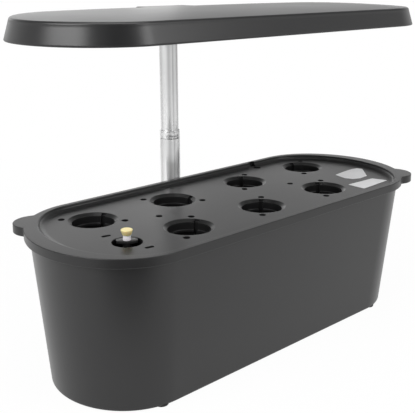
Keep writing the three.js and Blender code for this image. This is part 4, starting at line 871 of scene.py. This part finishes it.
# Float
stemLow, stemHigh = drawnBox("float_stem")
capLow, capHigh = drawnBox("float_cap")
floatPiece = {
    "rod": 1.9, "stem": 2.6, "stemDraft": 0.25, "shoulder": 115.2, "spigot": 1.6,
    "spigotDrop": 0.3, "cap": 4.2, "capFlat": 3.78, "waist": 3.9, "neck": 3.0, "capLow": 0.9,
    "taper": 2.4, "dome": 0.4, "pocket": (1.9, 2.6), "head": (3.4, 1.6), "segments": 72,
}


# Pin: a head below, the rod through the guide, and a stem with a spigot that the cap sits on
def floatPin(setup, capBottom):
    low, shoulder, neck = stemLow[2], setup["shoulder"], capBottom - setup["spigotDrop"]
    headRadius, headTop = setup["head"][0], low + setup["head"][1]
    section = [
        (0, low), (headRadius, low), (headRadius, headTop), (setup["rod"], headTop),
        (setup["rod"], shoulder), (setup["stem"] + setup["stemDraft"], shoulder), (setup["stem"], neck),
        (setup["spigot"], neck), (setup["spigot"], stemHigh[2]), (0, stemHigh[2]),
    ]
    radii = [0, 0.3, 0.3, 0.1, 0.1, 0.3, 0.2, 0.1, 0.1, 0]
    return turnedPart(section, radii, floatAxis, setup["segments"])


# Cap: a cone that widens upwards to a flat top, with a pocket for the spigot
def floatKnob(setup, capBottom):
    pocketRadius, pocketTop = setup["pocket"][0], capLow[2] + setup["pocket"][1]
    section = [
        (0, pocketTop), (pocketRadius, pocketTop), (pocketRadius, capBottom),
        (setup["neck"], capBottom), (setup["waist"], capBottom + setup["taper"]),
        (setup["cap"], capHigh[2] - setup["dome"]), (setup["capFlat"], capHigh[2]), (0, capHigh[2]),
    ]
    return turnedPart(section, [0, 0.1, 0.1, 0.3, 1.2, 0.2, 0.2, 0], floatAxis, setup["segments"], 6)


capBottom = capLow[2] + floatPiece["capLow"]
makePiece("float_pin", [floatPin(floatPiece, capBottom)], "floatWhite", "float", "float_stem")
makePiece("float_knob", [floatKnob(floatPiece, capBottom)], "floatYellow", "float", "float_cap")
print("float made")

# Hood
hood = {
    "bottom": 249.8, "straightHalf": 128.0, "halfLength": (180.6, 184.3),
    "halfWidth": (60.4, 64.0), "endShare": 0.875, "sideHeight": 12.1, "edge": 2.1, "crown": 1.7,
    "crownPower": 2.2, "crownReach": 55.3, "bunching": 1.7, "backRise": 2.4, "endDrop": 0.7,
    "lip": 0.8, "lipCut": 0.3, "wall": 2.6, "ceiling": 263.0, "ceilingCut": 0.9,
    "cavityShoulder": 259.3, "frameFace": 252.2,
}
hoodShares = ovalShares({**path, "tabSteps": 2}, hood["straightHalf"])


# Rings of the hood: the size grows evenly from the shoulder to the base, and the roof rises to the back by
# back rise * (1 - end drop * (x / half length)^4) * (1/2 + y / half width / 2)
def hoodRings(toBase, inset, height):
    halfLength = between(hood["halfLength"], toBase) - inset
    halfWidth = between(hood["halfWidth"], toBase) - inset
    rings = ovalRings(hoodShares, halfLength, halfWidth, halfWidth * hood["endShare"], height)
    x, y, z = (rings[:, :, axis] for axis in range(3))
    lift = np.clip((z - hood["bottom"]) / hood["sideHeight"], 0, 1)
    lift *= 1 - hood["endDrop"] * (x / hood["halfLength"][0]) ** 4
    return together(x, y, z + lift * hood["backRise"] * (0.5 + y / hood["halfWidth"][0] / 2))


# Profile of the hood from the crown's middle out and round the lip to the ceiling inside,
# as [share to the base, inset, height]; the crown's height = crown * (1 - (1 - share)^power)
def hoodProfile():
    edge, lip, wall, bottom = hood["edge"], hood["lip"], hood["wall"], hood["bottom"]
    ceiling, lipCut, ceilingCut = hood["ceiling"], hood["lipCut"], hood["ceilingCut"]
    shoulder = bottom + hood["sideHeight"]
    share = np.linspace(1, 0, 34) ** hood["bunching"]
    rise = hood["crown"] * (1 - (1 - share) ** hood["crownPower"])
    turn, lipTurn, down = quarter(10)[::-1][1:], quarter(5), np.linspace(0.12, 0.94, 6)
    return np.concatenate([
        together(0, edge + hood["crownReach"] * share, shoulder + edge + rise),
        together(0, edge * (1 - np.cos(turn)), shoulder + edge * np.sin(turn)),
        together(down, 0, shoulder - down * (hood["sideHeight"] - lip)),
        together(1, lip * (1 - np.cos(lipTurn)), bottom + lip * (1 - np.sin(lipTurn))),
        [
            [1, wall - lipCut, bottom], [1, wall, bottom + lipCut], [1, wall, hood["frameFace"]],
            [0, wall, hood["cavityShoulder"]], [0, wall + ceilingCut, ceiling - ceilingCut],
            [0, wall + edge, ceiling],
        ],
    ])


hoodGrid = hoodRings(*hoodProfile().T)
hoodParts = [gridPart(hoodGrid, "last"), acrossPart(hoodGrid[0])]
makePiece("hood_cover", hoodParts, "hood", "hood", "hood_shell")

boss = {
    "halfX": 27.0, "backY": 93.0, "corner": 5.0, "levels": [255, 259, 262],
    "top": 265.5, "topRound": 2.4, "lip": 0.8, "sink": 1.4, "seat": (8.05, 240.0, 261.8),
    "pocket": (3.95, 83.8, 96.0), "grubHole": (2.3, 84.5, 96.0), "toolEdge": 0.01,
    "inletGap": 0.3, "inletPast": (0.3, 3.0, 0.3), "sharpAngle": 32,
}


# Front of the boss follows the hood's back face, a little inside it
def bossFront(height):
    shoulder = hood["bottom"] + hood["sideHeight"]
    below = between(hood["halfWidth"], (shoulder - height) / hood["sideHeight"])
    over = np.clip((height - shoulder) / hood["edge"], 0, 1)
    above = hood["halfWidth"][0] - hood["edge"] * (1 - np.sqrt(1 - over**2))
    return np.where(height < shoulder, below, above) - boss["sink"]


# Boss: a rounded rectangle whose inset follows the rounding of its lower and upper edges
def bossPart():
    lower, upper, corner = quarter(4), quarter(6), quarter(8)
    lip, edge = boss["lip"], boss["topRound"]
    levels = np.concatenate([
        together(lip * (1 - np.sin(lower)), hood["bottom"] + lip * (1 - np.cos(lower))),
        together(0, boss["levels"]),
        together(edge * (1 - np.cos(upper)), boss["top"] - edge * (1 - np.sin(upper))),
    ])
    inset, height = levels[:, :1], levels[:, 1:]
    halfX, backY, radius = boss["halfX"] - inset, boss["backY"] - inset, boss["corner"] - inset
    cornerX = halfX - radius + radius * np.cos(corner)
    cornerY = backY - radius + radius * np.sin(corner)
    x = np.concatenate([halfX, cornerX, -cornerX[:, ::-1], -halfX], axis=1)
    y = np.concatenate([bossFront(height), cornerY, cornerY[:, ::-1], bossFront(height)], axis=1)
    return gridPart(together(x, y, height), "closed")


# Turned part laid down, with its axis along Y through a place [x, z]
def lyingPart(section, radii, place, segments):
    points, faces = turnedPart(section, radii, (0, 0), segments)
    return points[:, [0, 2, 1]] + np.array([place[0], 0, place[1]]), faces


# Plain cylinder's section, from one height to another
def rodSection(radius, low, high):
    return [(0, low), (radius, low), (radius, high), (0, high)]


# Box as two rings of four corners with closed ends
def boxPart(low, high):
    x = np.array([low[0], high[0], high[0], low[0]])
    y = np.array([low[1], low[1], high[1], high[1]])
    return gridPart(together(x, y, np.array([[low[2]], [high[2]]])), "closed")


# Takes the space of some parts out of an object, for good
def cutWith(obj, toolParts):
    tool = makePiece("cutter", toolParts, "hood", "hood")
    cut = obj.modifiers.new("cut", "BOOLEAN")
    cut.operation = "DIFFERENCE"
    cut.solver = "EXACT"
    cut.object = tool
    bpy.context.view_layer.update()
    mesh = bpy.data.meshes.new_from_object(obj.evaluated_get(bpy.context.evaluated_depsgraph_get()))
    mesh.shade_smooth()
    mesh.set_sharp_from_angle(angle=math.radians(boss["sharpAngle"]))
    obj.modifiers.remove(cut)
    obj.data = mesh
    bpy.data.objects.remove(tool)


inletLow, inletHigh = drawnBox("dc_inlet")
buttonLow, buttonHigh = drawnBox("mode_button")
buttonAxis = (buttonLow[0] / 2 + buttonHigh[0] / 2, buttonLow[2] / 2 + buttonHigh[2] / 2)
bossBody = makePiece("hood_boss", [bossPart()], "hood", "hood", "hood_shell", boss["sharpAngle"], True)
cutWith(bossBody, [
    turnedPart(rodSection(*boss["seat"]), boss["toolEdge"], mastAxis, 48),
    lyingPart(rodSection(*boss["pocket"]), boss["toolEdge"], buttonAxis, 48),
    lyingPart(rodSection(*boss["grubHole"]), boss["toolEdge"], (0, buttonAxis[1]), 48),
    boxPart(inletLow - boss["inletGap"], inletHigh + boss["inletPast"]),
])
print("hood made")

# Mode button: a cap with a dished face
button = {"radius": 3.6, "face": 2.6, "dish": 0.5, "segments": 72}
buttonSection = [
    (0, buttonLow[1]), (button["radius"], buttonLow[1]), (button["radius"], buttonHigh[1]),
    (button["face"], buttonHigh[1]), (0, buttonHigh[1] - button["dish"]),
]
buttonPart = lyingPart(buttonSection, [0, 0.1, 0.45, 0.3, 0], buttonAxis, button["segments"])
makePiece("button_cap", [buttonPart], "button", "button", "mode_button")
print("button made")

# Finishes of the CAD nodes that stay
nodeFinishes = {
    "inner": ["hood_frame"],
    "opal": ["diffuser"],
    "ledBoard": ["led_board"],
    "driverBoard": ["driver_board"],
    "pump": [
        "tact_switch", "dc_inlet", "friction_plug", "tube_plug", "pump_housing", "pump_cover", "pump_nozzle"
    ],
    "screw": ["tube_screw", "mast_screw", *(f"hood_screw_{number}" for number in range(1, 5))],
    "floatFoam": ["float_body"],
    "ceramic": ["pump_shaft"],
    "magnet": ["rotor_magnet"],
    "floatWhite": ["impeller"],
    "rubber": ["pump_gland", *(f"pump_foot_{number}" for number in range(1, 5))],
}
for finish, nodes in nodeFinishes.items():
    for node in nodes:
        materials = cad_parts[node].data.materials
        materials.clear()
        materials.append(finishes[finish])
print("nodes dressed")

# Floor, world and lights
studio = {
    "floorSize": 4.0, "floorColor": (0.86, 0.86, 0.86), "floorWhite": 0.965,
    "fade": (0.25, 0.7), "mirrorWhite": 0.66,
    # Painted shadow on the floor paper: darker round this place, out to this radius
    "shade": {"place": (-0.36, -0.38, 0.0), "core": 0.18, "radius": 0.34, "drop": 0.9},
    "card": {"place": (-0.26, -0.49), "turn": -28.0, "half": 0.15, "bottom": 0.36, "top": 0.72},
    "sky": [
        (0.0, 0.68), (0.08, 0.85), (0.17, 0.9), (0.26, 0.62), (0.34, 0.46), (0.45, 0.31), (0.6, 0.26),
        (1.0, 0.26),
    ],
    "lights": [
        ("overhead", (-0.15, -0.25, 1.5), (0, 0, 0.1), (1.6, 1.2), 14.0),
        ("leftPanel", (-1.0, -0.04, 0.82), (-0.15, 0, 0.25), (0.84, 0.35), 6.9),
        ("rightPanel", (0.445, -1.0, 0.84), (-0.13, -0.06, 0.25), (0.36, 0.5), 3.4),
        ("behindRight", (1.22, 0.97, 0.34), (0.1, 0, 0.2), (0.95, 0.24), 0.5),
        ("behind", (0.5, 1.5, 0.55), (0, 0, 0.15), (1.2, 0.55), 1.5),
    ],
}


# Studio sheet: one flat rectangle
def makeSheet(name, corners, material):
    mesh = bpy.data.meshes.new(name)
    mesh.from_pydata(corners, [], [(0, 1, 2, 3)])
    mesh.materials.append(material)
    sheet = addObject(name, mesh)
    return sheet


# Smooth change from a level to one, as the value goes from the first of its ends to the second
def smoothRange(tree, value, ends, level):
    inputs = {"Value": value, "From Min": ends[0], "From Max": ends[1], "To Min": level}
    return addNode(tree, "MapRange", inputs, interpolation_type="SMOOTHSTEP").outputs["Result"]


# Floor paper: the camera sees it nearly white with the garden's shadow, and white further out. To other rays
# it is plain paper, whiter in mirrored ones, with a painted shadow round one place in front of the left end
def makeFloor(setup):
    material = bpy.data.materials.new("floorPaper")
    material.use_nodes = True
    tree = material.node_tree
    tree.nodes.remove(tree.nodes["Principled BSDF"])
    shade = setup["shade"]
    rays = addNode(tree, "LightPath", {}).outputs
    place = addNode(tree, "TexCoord", {}).outputs["Object"]
    distance = vectorNode(tree, "LENGTH", {0: place})["Value"]
    white = smoothRange(tree, distance, setup["fade"], setup["floorWhite"])
    # Painted shadow: the paper and its mirrored white are darker near the shade's place
    away = vectorNode(tree, "DISTANCE", {0: place, 1: shade["place"]})["Value"]
    light = smoothRange(tree, away, (shade["core"], shade["radius"]), 1 - shade["drop"])
    color = vectorNode(tree, "SCALE", {0: setup["floorColor"], "Scale": light})["Vector"]
    seen = mathNode(tree, "MULTIPLY", rays["Is Camera Ray"], white)
    mirrored = mathNode(tree, "MULTIPLY", light, setup["mirrorWhite"])
    mirrored = mathNode(tree, "MULTIPLY", rays["Is Glossy Ray"], mirrored)
    mix = addNode(tree, "MixShader", {
        0: mathNode(tree, "MAXIMUM", seen, mirrored),
        1: addNode(tree, "BsdfDiffuse", {"Color": color}).outputs[0],
        2: addNode(tree, "Emission", {}).outputs[0],
    })
    setInputs(tree, tree.nodes["Material Output"], {"Surface": mix.outputs[0]})
    half = setup["floorSize"] / 2
    makeSheet("floor", [(-half, -half, 0), (half, -half, 0), (half, half, 0), (-half, half, 0)], material)


# Room light: a brightness for each height of the direction, and white to the camera
def makeWorld(setup):
    world = bpy.data.worlds.new("studio")
    bpy.context.scene.world = world
    world.use_nodes = True
    tree = world.node_tree
    direction = addNode(tree, "TexCoord", {}).outputs["Generated"]
    height = addNode(tree, "SeparateXYZ", {0: direction}).outputs["Z"]
    sky = rampColor(tree, height, [(place, (level, level, level)) for place, level in setup["sky"]])
    rays = addNode(tree, "LightPath", {}).outputs
    strength = mathNode(tree, "MAXIMUM", rays["Is Camera Ray"], sky)
    setInputs(tree, tree.nodes["Background"], {"Color": (1, 1, 1, 1), "Strength": strength})


# Dark card beside the camera: it gives the dark band that the hood and the mast mirror
def makeCard(card):
    turn = math.radians(card["turn"])
    ends = [roundAxis(side * card["half"], 0, card["place"], turn)[:2] for side in (-1, 1)]
    low, high = card["bottom"], card["top"]
    corners = [(*ends[0], low), (*ends[1], low), (*ends[1], high), (*ends[0], high)]
    makeSheet("darkCard", corners, finishes["card"]).visible_camera = False


# Lights from rows of a name, place, point that they aim at, size and power
def makeLights(rows):
    for name, place, target, size, power in rows:
        data = bpy.data.lights.new(name, "AREA")
        data.shape = "RECTANGLE"
        data.size, data.size_y = size
        data.energy = power
        addObject(name, data, place, Vector(target) - Vector(place)).visible_camera = False


makeFloor(studio)
makeWorld(studio)
makeCard(studio["card"])
makeLights(studio["lights"])
bpy.context.scene.view_settings.view_transform = "Standard"
print("studio made")
